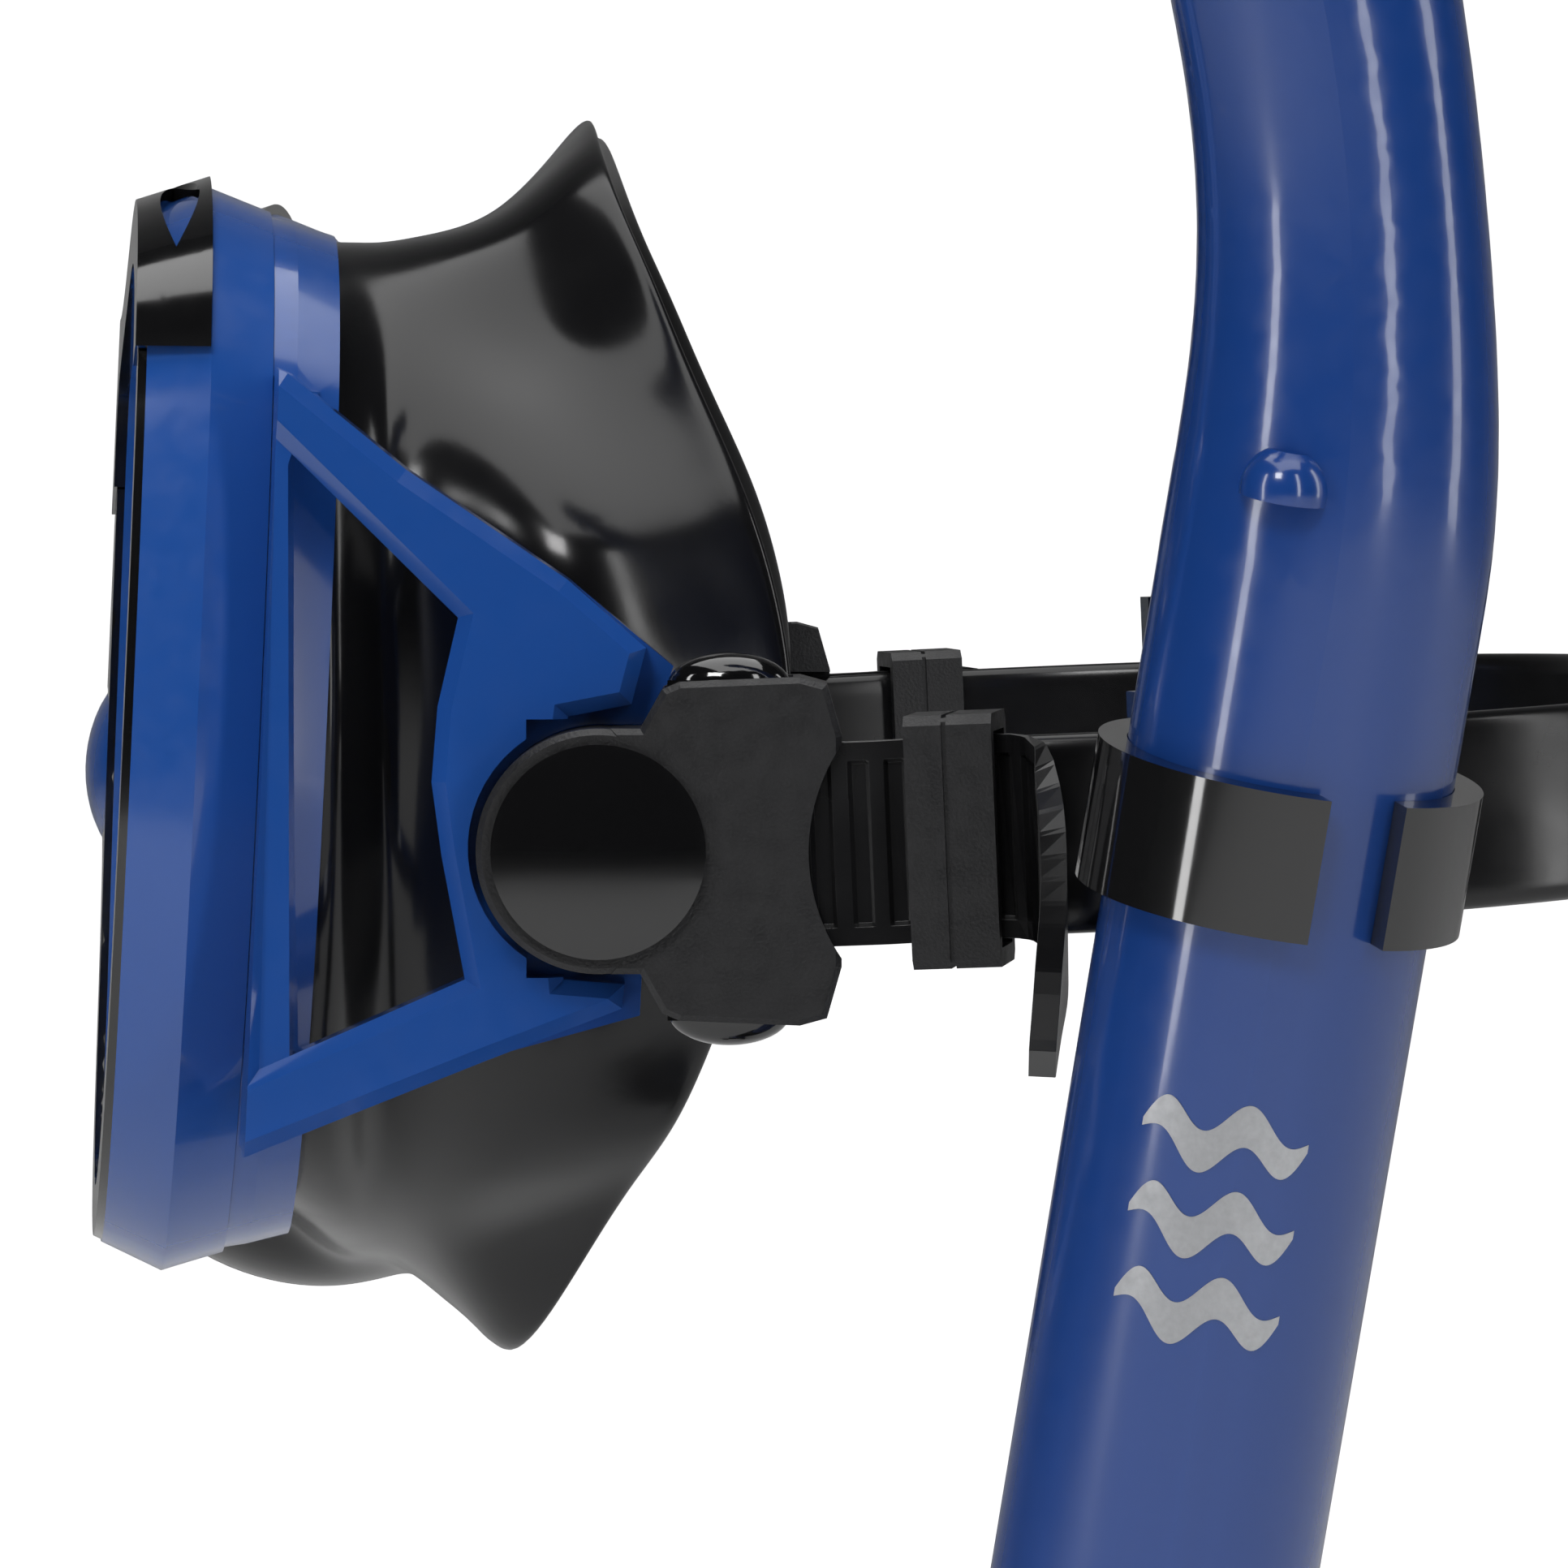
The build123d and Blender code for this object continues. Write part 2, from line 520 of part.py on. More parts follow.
# ---------------------------------------------------------------- snorkel
def tube_axis_frame():
    """Plane at the clip whose normal is the tube's axis."""
    up = Vector(math.tan(math.radians(TUBE_LEAN_OUT)), math.tan(math.radians(TUBE_LEAN_BACK)), 1).normalized()
    x_dir = Vector(1, 0, -up.X / up.Z).normalized()
    return Plane((TUBE_X, TUBE_Y, TUBE_Z), x_dir=x_dir, z_dir=up)


AXIS_PLANE = tube_axis_frame()


def in_tube(shape):
    """Put a shape drawn on the tube's own axis (Z up along the tube, origin at the clip) in place."""
    return AXIS_PLANE.location * shape


def bend_point(angle):
    turn = math.radians(angle)
    return Vector(0, -BEND_R + BEND_R * math.cos(turn), BEND_START + BEND_R * math.sin(turn))


def tube_solid(shrink):
    """Outside of the barrel, or its bore when shrunk: straight, then a bent and narrowing length."""
    straight = Pos(0, 0, (BEND_START - TUBE_DOWN) / 2) * Cylinder(TUBE_R - shrink, BEND_START + TUBE_DOWN)
    steps = 6
    rings = []
    for i in range(steps + 1):
        angle = BEND_ANGLE * i / steps
        share = min(1.0, i / 3)
        radius = TUBE_R + (TUBE_TOP_R - TUBE_R) * share * share * (3 - 2 * share) - shrink
        turn = math.radians(angle)
        plane = Plane(bend_point(angle), x_dir=(1, 0, 0), z_dir=(0, -math.sin(turn), math.cos(turn)))
        rings.append(plane * Circle(radius))
    bent = loft(rings)
    top = extrude(rings[-1], TOP_STRAIGHT)
    return straight + bent + top


def top_plane(extra=0.0):
    turn = math.radians(BEND_ANGLE)
    way = Vector(0, -math.sin(turn), math.cos(turn))
    return Plane(bend_point(BEND_ANGLE) + way * (TOP_STRAIGHT + extra), x_dir=(1, 0, 0), z_dir=way)


def barrel():
    tube = tube_solid(0) - tube_solid(TUBE_WALL)
    stop = Pos(TUBE_R * 0.93, 0, STOP_Z) * Sphere(STOP_R)
    stop &= Pos(TUBE_R * 0.93, 0, STOP_Z + 1.3) * Box(12, 12, 3.8)
    stop = Rot(0, 0, STOP_TURN) * stop - tube_solid(0.3)
    return in_tube(tube + stop)


def clip():
    outer = TUBE_R + CLIP_GAP + CLIP_T
    ring = Cylinder(outer, CLIP_H) - Cylinder(TUBE_R + CLIP_GAP, CLIP_H + 2)
    mouth = Pos(20, 7.5, 0) * Rot(0, 0, 20) * Box(30, 6.5, CLIP_H + 4)
    ring -= mouth
    ring = in_tube(ring)
    return ring + clip_back()


def clip_back():
    """Upright plate with a slot that the strap runs through."""
    centre = loop_point(CLIP_ANGLE) + Vector(0, 0, STRAP_Z)
    where = Pos(*centre) * Rot(0, 0, CLIP_ANGLE)
    plate = Pos(CLIP_PLATE_OUT, 0, 3.6) * Box(2.6, CLIP_LENGTH, 31)
    bar = Pos(-2.95, 0, 0) * Box(1.9, CLIP_LENGTH, 22.5)
    for end in (1, -1):
        bar += Pos(0, 0, end * 10.2) * Box(6.8, CLIP_LENGTH, 2.2)
    post = Pos(CLIP_PLATE_OUT + 2.2, 1.5, 0.4) * Box(4.2, 8.0, CLIP_H - 1)
    back = rise(where * (plate + bar + post))
    return back - in_tube(Cylinder(TUBE_R + CLIP_GAP, 80))


# ---- lower end: hose, chamber, valve, mouthpiece ----


def flex_hose():
    """Corrugated hose from the barrel's end to the chamber, with a cuff on each end."""
    points = [(TUBE_R + 0.05, HOSE_TOP), (TUBE_R + CUFF, HOSE_TOP), (TUBE_R + CUFF, -TUBE_DOWN - 1)]
    z = -TUBE_DOWN - 1.0
    pitch = (CHAMBER_Z + 2 - z) / HOSE_FOLDS
    for i in range(HOSE_FOLDS):
        points.append((HOSE_R + 0.9, z + pitch * (i + 0.35)))
        points.append((HOSE_R - 1.3, z + pitch * (i + 0.85)))
    grip = TUBE_R + 0.05
    points += [(TUBE_R + CUFF, CHAMBER_Z - 0.2), (TUBE_R + CUFF, CHAMBER_Z - 8.0), (grip, CHAMBER_Z - 8.0)]
    points += [(grip, CHAMBER_Z + 0.05), (TUBE_R - 1.3, CHAMBER_Z + 0.05), (TUBE_R - 1.3, -TUBE_DOWN - 0.05),
               (grip, -TUBE_DOWN - 0.05)]
    profile = Plane.XZ * make_face(Polyline(*points, close=True))
    return in_tube(revolve(profile, Axis.Z))


def mouth_way():
    """Direction in the tube's own frame in which the mouthpiece points."""
    return Plane((0, 0, CHAMBER_Z - MOUTH_DROP), x_dir=(0, 0, 1), z_dir=(-0.94, -0.34, 0))


def purge_chamber():
    middle = FOOT_Z + CHAMBER_H / 2
    shell = Pos(0, 0, middle) * Cylinder(CHAMBER_R, CHAMBER_H)
    shell += Pos(0, 0, CHAMBER_Z - CHAMBER_NECK / 2) * Cylinder(TUBE_R, CHAMBER_NECK)
    inside = Pos(0, 0, middle) * Cylinder(CHAMBER_R - CHAMBER_WALL, CHAMBER_H - 4.8)
    inside += Pos(0, 0, CHAMBER_Z) * Cylinder(TUBE_R - CHAMBER_WALL, 40)
    plane = mouth_way()
    spigot = extrude(plane * Ellipse(*SPIGOT), 27.0)
    spigot_bore = extrude(plane * Ellipse(*[half - CHAMBER_WALL for half in SPIGOT]), 30.0)
    drain = Pos(0, 0, FOOT_Z) * Cylinder(9.0, 10)
    bars = Pos(0, 0, FOOT_Z + 0.6) * (Box(18.6, 1.6, 1.2) + Box(1.6, 18.6, 1.2))
    return in_tube((shell + spigot) - inside - spigot_bore - drain + bars)


def purge_flap():
    disc = Pos(0, 0, FOOT_Z - 0.65) * Cylinder(11.5, 1.2)
    return in_tube(disc)


def purge_cover():
    cup = Pos(0, 0, FOOT_Z - 2.55) * Cylinder(CHAMBER_R, 5.0)
    cup -= Pos(0, 0, FOOT_Z - 1.3) * Cylinder(CHAMBER_R - 1.6, 2.6)
    for i in range(5):
        reach = 2 * math.sqrt((CHAMBER_R - 3) ** 2 - (5.0 * (i - 2)) ** 2)
        cup -= Pos(5.0 * (i - 2), 0, FOOT_Z - 4) * Box(2.4, reach, 8)
    return in_tube(cup)


def mouthpiece():
    plane = mouth_way()
    grip = [half + SPIGOT_GAP for half in SPIGOT]
    collar = extrude(plane * Ellipse(*COLLAR), 22.0) - extrude(plane * Ellipse(*grip), 22.0)
    collar = collar - extrude(plane * Rectangle(80, 80), CHAMBER_R + 2.4)
    neck = extrude(plane.offset(22.0) * Ellipse(*COLLAR), 16.0)
    flange = extrude(plane.offset(34.0) * Ellipse(14, 24), 2.4)
    bites = extrude(plane.offset(36.0) * (Pos(0, 13) * Rectangle(3, 8) + Pos(0, -13) * Rectangle(3, 8)), 10)
    tabs = extrude(plane.offset(44.0) * (Pos(0, 13) * Rectangle(9, 8) + Pos(0, -13) * Rectangle(9, 8)), 2.5)
    body = collar + neck + flange
    body -= extrude(plane * Ellipse(*grip), 27.2)
    body -= extrude(plane.offset(27.1) * Ellipse(6.0, 10.0), 20)
    return in_tube(body + bites + tabs)


def mouthpiece_tie():
    plane = mouth_way().offset(CHAMBER_R + 5.0)
    band = extrude(plane * Ellipse(11.4, 15.4), 3.2) - extrude(plane * Ellipse(10.25, 14.25), 3.2)
    lug = extrude(plane * (Pos(12.6, 0) * Rectangle(3.4, 4.0)), 3.2)
    return in_tube(band + lug)


# ---- upper end: dry top, drawn with Z up the tube and its origin at the barrel's end ----


def top_place(shape):
    return in_tube(top_plane().location * shape)


def dry_top_base():
    """Socket on the barrel, with a chimney for the air and lugs for the flap's pin."""
    bore = TUBE_TOP_R - TUBE_WALL
    body = Pos(0, 0, -2) * Cylinder(DRY_R, 16)
    body += Pos(0, 0, CHIMNEY_TOP / 2) * Cylinder(TUBE_TOP_R + 0.2, CHIMNEY_TOP)
    for side in (1, -1):
        body += Pos(side * 5, HINGE_Y - 0.3, HINGE_Z - 1.2) * Box(1.6, 3.2, 4.6)
        body += Pos(side * 5, HINGE_Y - 1.5, HINGE_Z - 2.8) * Box(1.6, 5.0, 1.6)
    body -= Pos(0, 0, 0) * Cylinder(bore, 60)
    body -= Pos(0, 0, -10) * Cylinder(TUBE_TOP_R + 0.02, 20)
    body -= Pos(0, HINGE_Y, HINGE_Z) * Rot(0, 90, 0) * Cylinder(HINGE_PIN_R, 20)
    return top_place(body)


def dry_top_cap():
    """Domed cover with side slots for the air."""
    dome = Pos(0, 0, 23.05) * Cylinder(DRY_R, 34)
    dome = fillet(dome.edges().sort_by(Axis.Z)[-1], 7)
    inner = Pos(0, 0, 22) * Cylinder(DRY_R - DRY_WALL, 32.4)
    inner = fillet(inner.edges().sort_by(Axis.Z)[-1], 5.4)
    dome -= inner
    for i in range(6):
        dome -= Rot(0, 0, 60 * i + 30) * Pos(DRY_R, 0, 27) * Box(8, 8.5, 11)
    return top_place(dome)


def dry_top_float():
    ring = Pos(0, 0, 9.7) * (Cylinder(DRY_R - DRY_WALL - 0.6, 6.6) - Cylinder(TUBE_TOP_R + 0.8, 8))
    pusher = Pos(0, 14.5, 14.2) * Box(4, 1.0, 3.0)
    return top_place(ring + pusher)


def dry_top_flap():
    """Flap that closes the chimney, drawn open; its tail is pushed by the float."""
    plate = Pos(0, -HINGE_Y, -0.7) * Cylinder(TUBE_TOP_R, 1.2) + Pos(0, -1.6, -0.7) * Box(7.2, 4.0, 1.2)
    plate += Rot(0, 90, 0) * Cylinder(1.4, 7.6)
    plate += Pos(0, 1.2, 0) * Box(6, 1.8, 1.0)
    plate -= Rot(0, 90, 0) * Cylinder(HINGE_PIN_R + PIN_GAP, 20)
    return top_place(Pos(0, HINGE_Y, HINGE_Z) * Rot(-FLAP_OPEN, 0, 0) * plate)


def dry_top_pin():
    return top_place(Pos(0, HINGE_Y, HINGE_Z) * Rot(0, 90, 0) * Cylinder(HINGE_PIN_R, 12.4))


# ---------------------------------------------------------------- write every sub-part
save(front_frame(), "front_frame")
save(front_bezel(), "front_bezel")
save(brow_trim(), "brow_trim")
both_sides(lens(), "lens")
save(rear_frame(), "rear_frame")
save(skirt(), "skirt")
both_sides(buckle_pivot(), "buckle_pivot")
both_sides(buckle_body(), "buckle_body")
both_sides(buckle_cap(), "buckle_cap")
both_sides(button(1), "upper_button")
both_sides(button(-1), "lower_button")
both_sides(button_spring(1), "upper_spring")
both_sides(button_spring(-1), "lower_spring")
both_sides(strap_roller(), "strap_roller")
both_sides(keeper(), "strap_keeper")
save(strap(), "strap")
save(clip(), "snorkel_clip")
save(barrel(), "snorkel_barrel")
save(flex_hose(), "flex_hose")
save(purge_chamber(), "purge_chamber")
save(purge_flap(), "purge_flap")
save(purge_cover(), "purge_cover")
save(mouthpiece(), "mouthpiece")
save(mouthpiece_tie(), "mouthpiece_tie")
save(dry_top_base(), "dry_top_base")
save(dry_top_cap(), "dry_top_cap")
save(dry_top_float(), "dry_top_float")
save(dry_top_flap(), "dry_top_flap")
save(dry_top_pin(), "dry_top_pin")
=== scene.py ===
"""Snorkel mask: the soft pieces, the finishes and the studio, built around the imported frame."""
import math

import bmesh
import bpy
from mathutils import Matrix, Vector


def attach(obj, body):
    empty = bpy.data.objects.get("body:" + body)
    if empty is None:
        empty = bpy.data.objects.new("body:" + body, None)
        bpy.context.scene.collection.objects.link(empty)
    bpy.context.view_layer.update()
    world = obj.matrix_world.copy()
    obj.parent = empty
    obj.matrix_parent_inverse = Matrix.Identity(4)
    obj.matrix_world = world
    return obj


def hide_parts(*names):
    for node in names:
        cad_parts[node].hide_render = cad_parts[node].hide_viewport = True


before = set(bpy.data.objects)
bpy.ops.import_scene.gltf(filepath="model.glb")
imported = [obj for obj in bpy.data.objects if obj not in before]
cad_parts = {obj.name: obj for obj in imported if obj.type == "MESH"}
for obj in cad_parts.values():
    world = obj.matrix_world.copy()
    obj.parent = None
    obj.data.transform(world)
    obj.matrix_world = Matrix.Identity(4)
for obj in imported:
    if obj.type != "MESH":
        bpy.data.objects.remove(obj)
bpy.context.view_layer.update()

bl_info = {
    "name": "Snorkel Mask Builder",
    "version": (1, 0, 0),
    "blender": (4, 5, 0),
    "location": "View3D > Sidebar > Mask",
    "description": "Builds the soft pieces, finishes and studio of a snorkel mask around its frame",
    "category": "Object",
}

MM = 0.001

# ---- skirt ----
# Rings from the frame to the face, as (x, y, z) from the top middle round to the bottom middle.
FRAME_REAR_Y = -43.9
SWEEP = math.tan(math.radians(5.5))
TILT = math.sin(math.radians(2.7))
RING_FRAME = [(0, 25), (26, 30.5), (46, 34), (60, 31), (69.5, 18.5), (72, 0.5), (68.5, -17.5),
              (58.5, -33), (43, -41), (24, -41.5), (0, -41)]
RING_ROLL = [(0, -36, 33), (27, -34.5, 37), (47, -33.5, 38.5), (62, -32, 32), (72.5, -31, 18.5),
             (75, -30.5, 0.5), (71.5, -31, -17.5), (60.5, -32, -33.5), (43, -33, -44.5), (22, -34, -50),
             (0, -35, -52)]
RING_GROOVE = [(0, -28.5, 36), (28, -27.5, 38.6), (47, -26.5, 38.5), (60, -25.5, 29.5), (67.5, -25, 17),
               (68.5, -25, 0), (65, -25, -16), (56, -26, -31), (41, -27, -43), (20, -28, -51.5),
               (0, -28, -54)]
RING_BELLY = [(0, -21.5, 39.6), (27, -19.5, 42.0), (49, -16.5, 40), (62, -14, 28), (72, -11, 13.5),
              (74, -9, -2), (71, -11, -18), (60, -15, -32), (42, -18.5, -46), (22, -21.5, -56),
              (0, -23, -57.5)]
RING_LIP = [(0, -16, 45), (20, -11, 51), (48, -8.2, 44.5), (60.5, -2, 30.5), (68, 5.2, 13),
            (69.5, 7.5, -2), (66, 4.5, -17), (58.5, 0.5, -30.5), (44, -6.5, -44), (21, -17.5, -60),
            (0, -20.5, -55)]
NOSE_AT = Vector((0, -37.5, -38.5))
NOSE_SIZE = Vector((17, 21.5, 18.5))
BRIDGE = [(30, 26), (25, 13), (14, 9.5), (2, 10), (-9, 12.5), (-20, 18), (-31, 23.5), (-41, 24)]

# ---- strap ----
STRAP_W = 16.6
ROLLER = Vector((86.4, 3.6, -11.2))
WRAP_R = 3.05
LEAD_ANGLE = math.radians(20)
LEAD = 8.0
LOOP_R = 58.0
RISE = math.radians(2.5)
TAIL_ANGLE = math.radians(6.2)
TAIL_LENGTH = 23.5

# ---- snorkel ----
TUBE_AT = Vector((108.5, 46.4, -9.0))
LEAN_BACK = math.radians(8.9)
LEAN_OUT = math.radians(8.0)
TUBE_R = 13.1
TUBE_DOWN = 82.0
CHAMBER_Z = -128.0
CHAMBER_H = 40.0
BEND_R = 136.0
BEND_START = 20.0
BEND_ANGLE = math.radians(30)
TOP_STRAIGHT = 62.0
CHAMBER_NECK = 8.2
MOUTH_DROP = 26
FLANGE_HALF = 24
HINGE_Y = 13.2
HINGE_Z = 18.4
FLAP_OPEN = math.radians(30)


# ---------------------------------------------------------------- settings
class MaskFinishSettings(bpy.types.PropertyGroup):
    frame_blue: bpy.props.FloatVectorProperty(
        name="Frame blue", description="Colour of the moulded frame", subtype="COLOR",
        default=(0.014, 0.078, 0.335), min=0, max=1)
    tube_blue: bpy.props.FloatVectorProperty(
        name="Tube blue", description="Colour of the snorkel barrel", subtype="COLOR",
        default=(0.011, 0.056, 0.26), min=0, max=1)
    black: bpy.props.FloatVectorProperty(
        name="Black", description="Colour of the black plastics and silicone", subtype="COLOR",
        default=(0.0055, 0.0055, 0.006), min=0, max=1)
    grain: bpy.props.FloatProperty(
        name="Grain", description="Size of the spark-eroded grain on the buckles", subtype="DISTANCE",
        unit="LENGTH", default=0.00028, min=0.0001, max=0.002)


class MaskSoftSettings(bpy.types.PropertyGroup):
    skirt_wall: bpy.props.FloatProperty(
        name="Skirt wall", description="Thickness of the skirt's wall", subtype="DISTANCE", unit="LENGTH",
        default=0.0019, min=0.0005, max=0.004)
    strap_width: bpy.props.FloatProperty(
        name="Strap width", description="Width of the strap's single band", subtype="DISTANCE", unit="LENGTH",
        default=0.0166, min=0.01, max=0.03)
    strap_thickness: bpy.props.FloatProperty(
        name="Strap thickness", description="Thickness of the strap", subtype="DISTANCE", unit="LENGTH",
        default=0.0022, min=0.001, max=0.004)
    rib_pitch: bpy.props.FloatProperty(
        name="Rib pitch", description="Distance from one strap rib to the next", subtype="DISTANCE",
        unit="LENGTH", default=0.0028, min=0.001, max=0.006)
    hose_folds: bpy.props.IntProperty(
        name="Hose folds", description="Number of folds along the flexible hose", default=9, min=4, max=16)


class MaskStudioSettings(bpy.types.PropertyGroup):
    key: bpy.props.FloatProperty(name="Overhead light", description="Power of the overhead softbox",
                                 default=8.5, min=0, max=200)
    strips: bpy.props.FloatProperty(name="Strip lights", description="Power of each upright strip light",
                                    default=4.2, min=0, max=200)
    floor: bpy.props.FloatProperty(name="Backdrop", description="Brightness of the pale backdrop",
                                   default=0.95, min=0, max=2)


# ---------------------------------------------------------------- mesh helpers
def finish_piece(bm, name, material, body, nodes=(), smooth=True):
    """Turn a bmesh drawn in millimetres into a piece that rides on a body."""
    bmesh.ops.scale(bm, vec=(MM, MM, MM), verts=bm.verts)
    mesh = bpy.data.meshes.new(name)
    bm.to_mesh(mesh)
    bm.free()
    piece = bpy.data.objects.new(name, mesh)
    bpy.context.scene.collection.objects.link(piece)
    mesh.materials.append(material)
    if smooth:
        mesh.shade_smooth()
    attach(piece, body)
    if nodes:
        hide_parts(*nodes)
    return piece


def next_row(bm, row, places, closed=True):
    """Extrude a row of vertices into the next one and put that one at its places."""
    count = len(row)
    pairs = count if closed else count - 1
    edges = [bm.edges.get((row[i], row[(i + 1) % count])) for i in range(pairs)]
    made = bmesh.ops.extrude_edge_only(bm, edges=edges)["geom"]
    index = {v: i for i, v in enumerate(row)}
    fresh = [None] * count
    for v in (g for g in made if isinstance(g, bmesh.types.BMVert)):
        for e in v.link_edges:
            other = e.other_vert(v)
            if other in index:
                fresh[index[other]] = v
    for v, place in zip(fresh, places):
        v.co = place
    return fresh


def first_ring(bm, places):
    """Closed ring of vertices at the given places."""
    ring = bmesh.ops.create_circle(bm, segments=len(places), radius=1)["verts"]
    for v, place in zip(ring, places):
        v.co = place
    return ring


def first_line(bm, places):
    """Open chain of vertices at the given places."""
    start = bmesh.ops.create_vert(bm, co=places[0])["vert"][0]
    row = [start]
    for place in places[1:]:
        made = bmesh.ops.extrude_vert_indiv(bm, verts=[row[-1]])
        made["verts"][0].co = place
        row.append(made["verts"][0])
    return row


def loft_rings(bm, rings, join_ends=False):
    """Skin a list of closed rings; join_ends also closes the last ring onto the first."""
    first = row = first_ring(bm, rings[0])
    for places in rings[1:]:
        row = next_row(bm, row, places)
    if join_ends:
        next_row(bm, row, rings[0])
        bmesh.ops.remove_doubles(bm, verts=bm.verts, dist=1e-4)
    return first, row


def cubic(a, b, c, d, t):
    """Point of a smooth curve between b and c."""
    return 0.5 * (2 * b + (c - a) * t + (2 * a - 5 * b + 4 * c - d) * t * t
                  + (3 * b - a - 3 * c + d) * t ** 3)


def ease(t):
    t = max(0.0, min(1.0, t))
    return t * t * (3 - 2 * t)


def bell(value, centre, width):
    return math.exp(-((value - centre) / width) ** 2)


def tube_matrix():
    up = Vector((math.tan(LEAN_OUT), math.tan(LEAN_BACK), 1)).normalized()
    x = Vector((1, 0, -up.x / up.z)).normalized()
    y = up.cross(x)
    return Matrix.Translation(TUBE_AT) @ Matrix((x, y, up)).transposed().to_4x4()


def top_matrix():
    """Frame of the dry top: Z up the tube, origin at the barrel's end."""
    way = Vector((0, -math.sin(BEND_ANGLE), math.cos(BEND_ANGLE)))
    at = Vector((0, -BEND_R + BEND_R * math.cos(BEND_ANGLE), BEND_START + BEND_R * math.sin(BEND_ANGLE)))
    x = Vector((1, 0, 0))
    turned = Matrix((x, way.cross(x), way)).transposed().to_4x4()
    return tube_matrix() @ Matrix.Translation(at + way * TOP_STRAIGHT) @ turned


def mouth_matrix():
    """Frame of the mouthpiece: Z points into the mouth, X up along the tube."""
    z = Vector((-0.94, -0.34, 0)).normalized()
    x = Vector((0, 0, 1))
    turned = Matrix((x, z.cross(x), z)).transposed().to_4x4()
    return tube_matrix() @ Matrix.Translation((0, 0, CHAMBER_Z - MOUTH_DROP)) @ turned


def add_subdivision(piece, levels):
    smooth = piece.modifiers.new("Smooth", "SUBSURF")
    smooth.levels = smooth.render_levels = levels


# ---------------------------------------------------------------- materials
def new_material(name):
    material = bpy.data.materials.new(name)
    material.use_nodes = True
    tree = material.node_tree
    return material, tree, tree.nodes["Principled BSDF"]


def noise(tree, scale, detail=3.0, vector=None):
    coordinates = tree.nodes.new("ShaderNodeTexCoord")
    node = tree.nodes.new("ShaderNodeTexNoise")
    node.inputs["Scale"].default_value = scale
    node.inputs["Detail"].default_value = detail
    tree.links.new(vector or coordinates.outputs["Object"], node.inputs["Vector"])
    return node.outputs["Fac"]


def spread(tree, value, low, high):
    node = tree.nodes.new("ShaderNodeMapRange")
    node.inputs["From Min"].default_value = 0.3
    node.inputs["From Max"].default_value = 0.7
    node.inputs["To Min"].default_value = low
    node.inputs["To Max"].default_value = high
    tree.links.new(value, node.inputs["Value"])
    return node.outputs["Result"]


def tint(tree, value, dark, light):
    node = tree.nodes.new("ShaderNodeMix")
    node.data_type = "RGBA"
    node.inputs["A"].default_value = (*dark, 1)
    node.inputs["B"].default_value = (*light, 1)
    tree.links.new(value, node.inputs["Factor"])
    return node.outputs["Result"]


def bump(tree, height, strength, distance, before=None):
    node = tree.nodes.new("ShaderNodeBump")
    node.inputs["Strength"].default_value = strength
    node.inputs["Distance"].default_value = distance
    tree.links.new(height, node.inputs["Height"])
    if before:
        tree.links.new(before, node.inputs["Normal"])
    return node.outputs["Normal"]


def edge_wear(tree):
    """0 on open faces, 1 along sharp outer edges."""
    geometry = tree.nodes.new("ShaderNodeNewGeometry")
    node = tree.nodes.new("ShaderNodeMapRange")
    node.inputs["From Min"].default_value = 0.56
    node.inputs["From Max"].default_value = 0.72
    tree.links.new(geometry.outputs["Pointiness"], node.inputs["Value"])
    return node.outputs["Result"]


def gloss_plastic(name, colour, roughness, coat):
    """Moulded gloss plastic: faint flow marks, soft waviness, fine rub marks and paler edges."""
    material, tree, shader = new_material(name)
    flow = noise(tree, 12, 2)
    body = tint(tree, flow, [c * 0.95 for c in colour], [min(1, c * 1.06) for c in colour])
    worn = tree.nodes.new("ShaderNodeMix")
    worn.data_type = "RGBA"
    tree.links.new(edge_wear(tree), worn.inputs["Factor"])
    tree.links.new(body, worn.inputs["A"])
    worn.inputs["B"].default_value = (*[min(1, c * 1.35 + 0.004) for c in colour], 1)
    tree.links.new(worn.outputs["Result"], shader.inputs["Base Color"])
    uneven = spread(tree, noise(tree, 420, 5), roughness * 0.8, roughness * 1.3)
    tree.links.new(uneven, shader.inputs["Roughness"])
    waves = bump(tree, noise(tree, 30, 2), 0.05, 0.0003)
    tree.links.new(bump(tree, noise(tree, 2600, 2), 0.015, 0.00004, waves), shader.inputs["Normal"])
    shader.inputs["IOR"].default_value = 1.5
    shader.inputs["Coat Weight"].default_value = coat
    shader.inputs["Coat Roughness"].default_value = 0.06
    return material


def matte_plastic(name, colour, grain):
    """Spark-eroded plastic: fine even grain and edges rubbed smoother."""
    material, tree, shader = new_material(name)
    grains = noise(tree, 1 / grain, 2)
    body = tint(tree, grains, [c * 1.2 for c in colour], [c * 3.4 for c in colour])
    tree.links.new(body, shader.inputs["Base Color"])
    tree.links.new(spread(tree, noise(tree, 500, 4), 0.36, 0.5), shader.inputs["Roughness"])
    broad = bump(tree, noise(tree, 60, 2), 0.1, 0.0003)
    tree.links.new(bump(tree, grains, 0.5, 0.00012, broad), shader.inputs["Normal"])
    shader.inputs["IOR"].default_value = 1.5
    return material


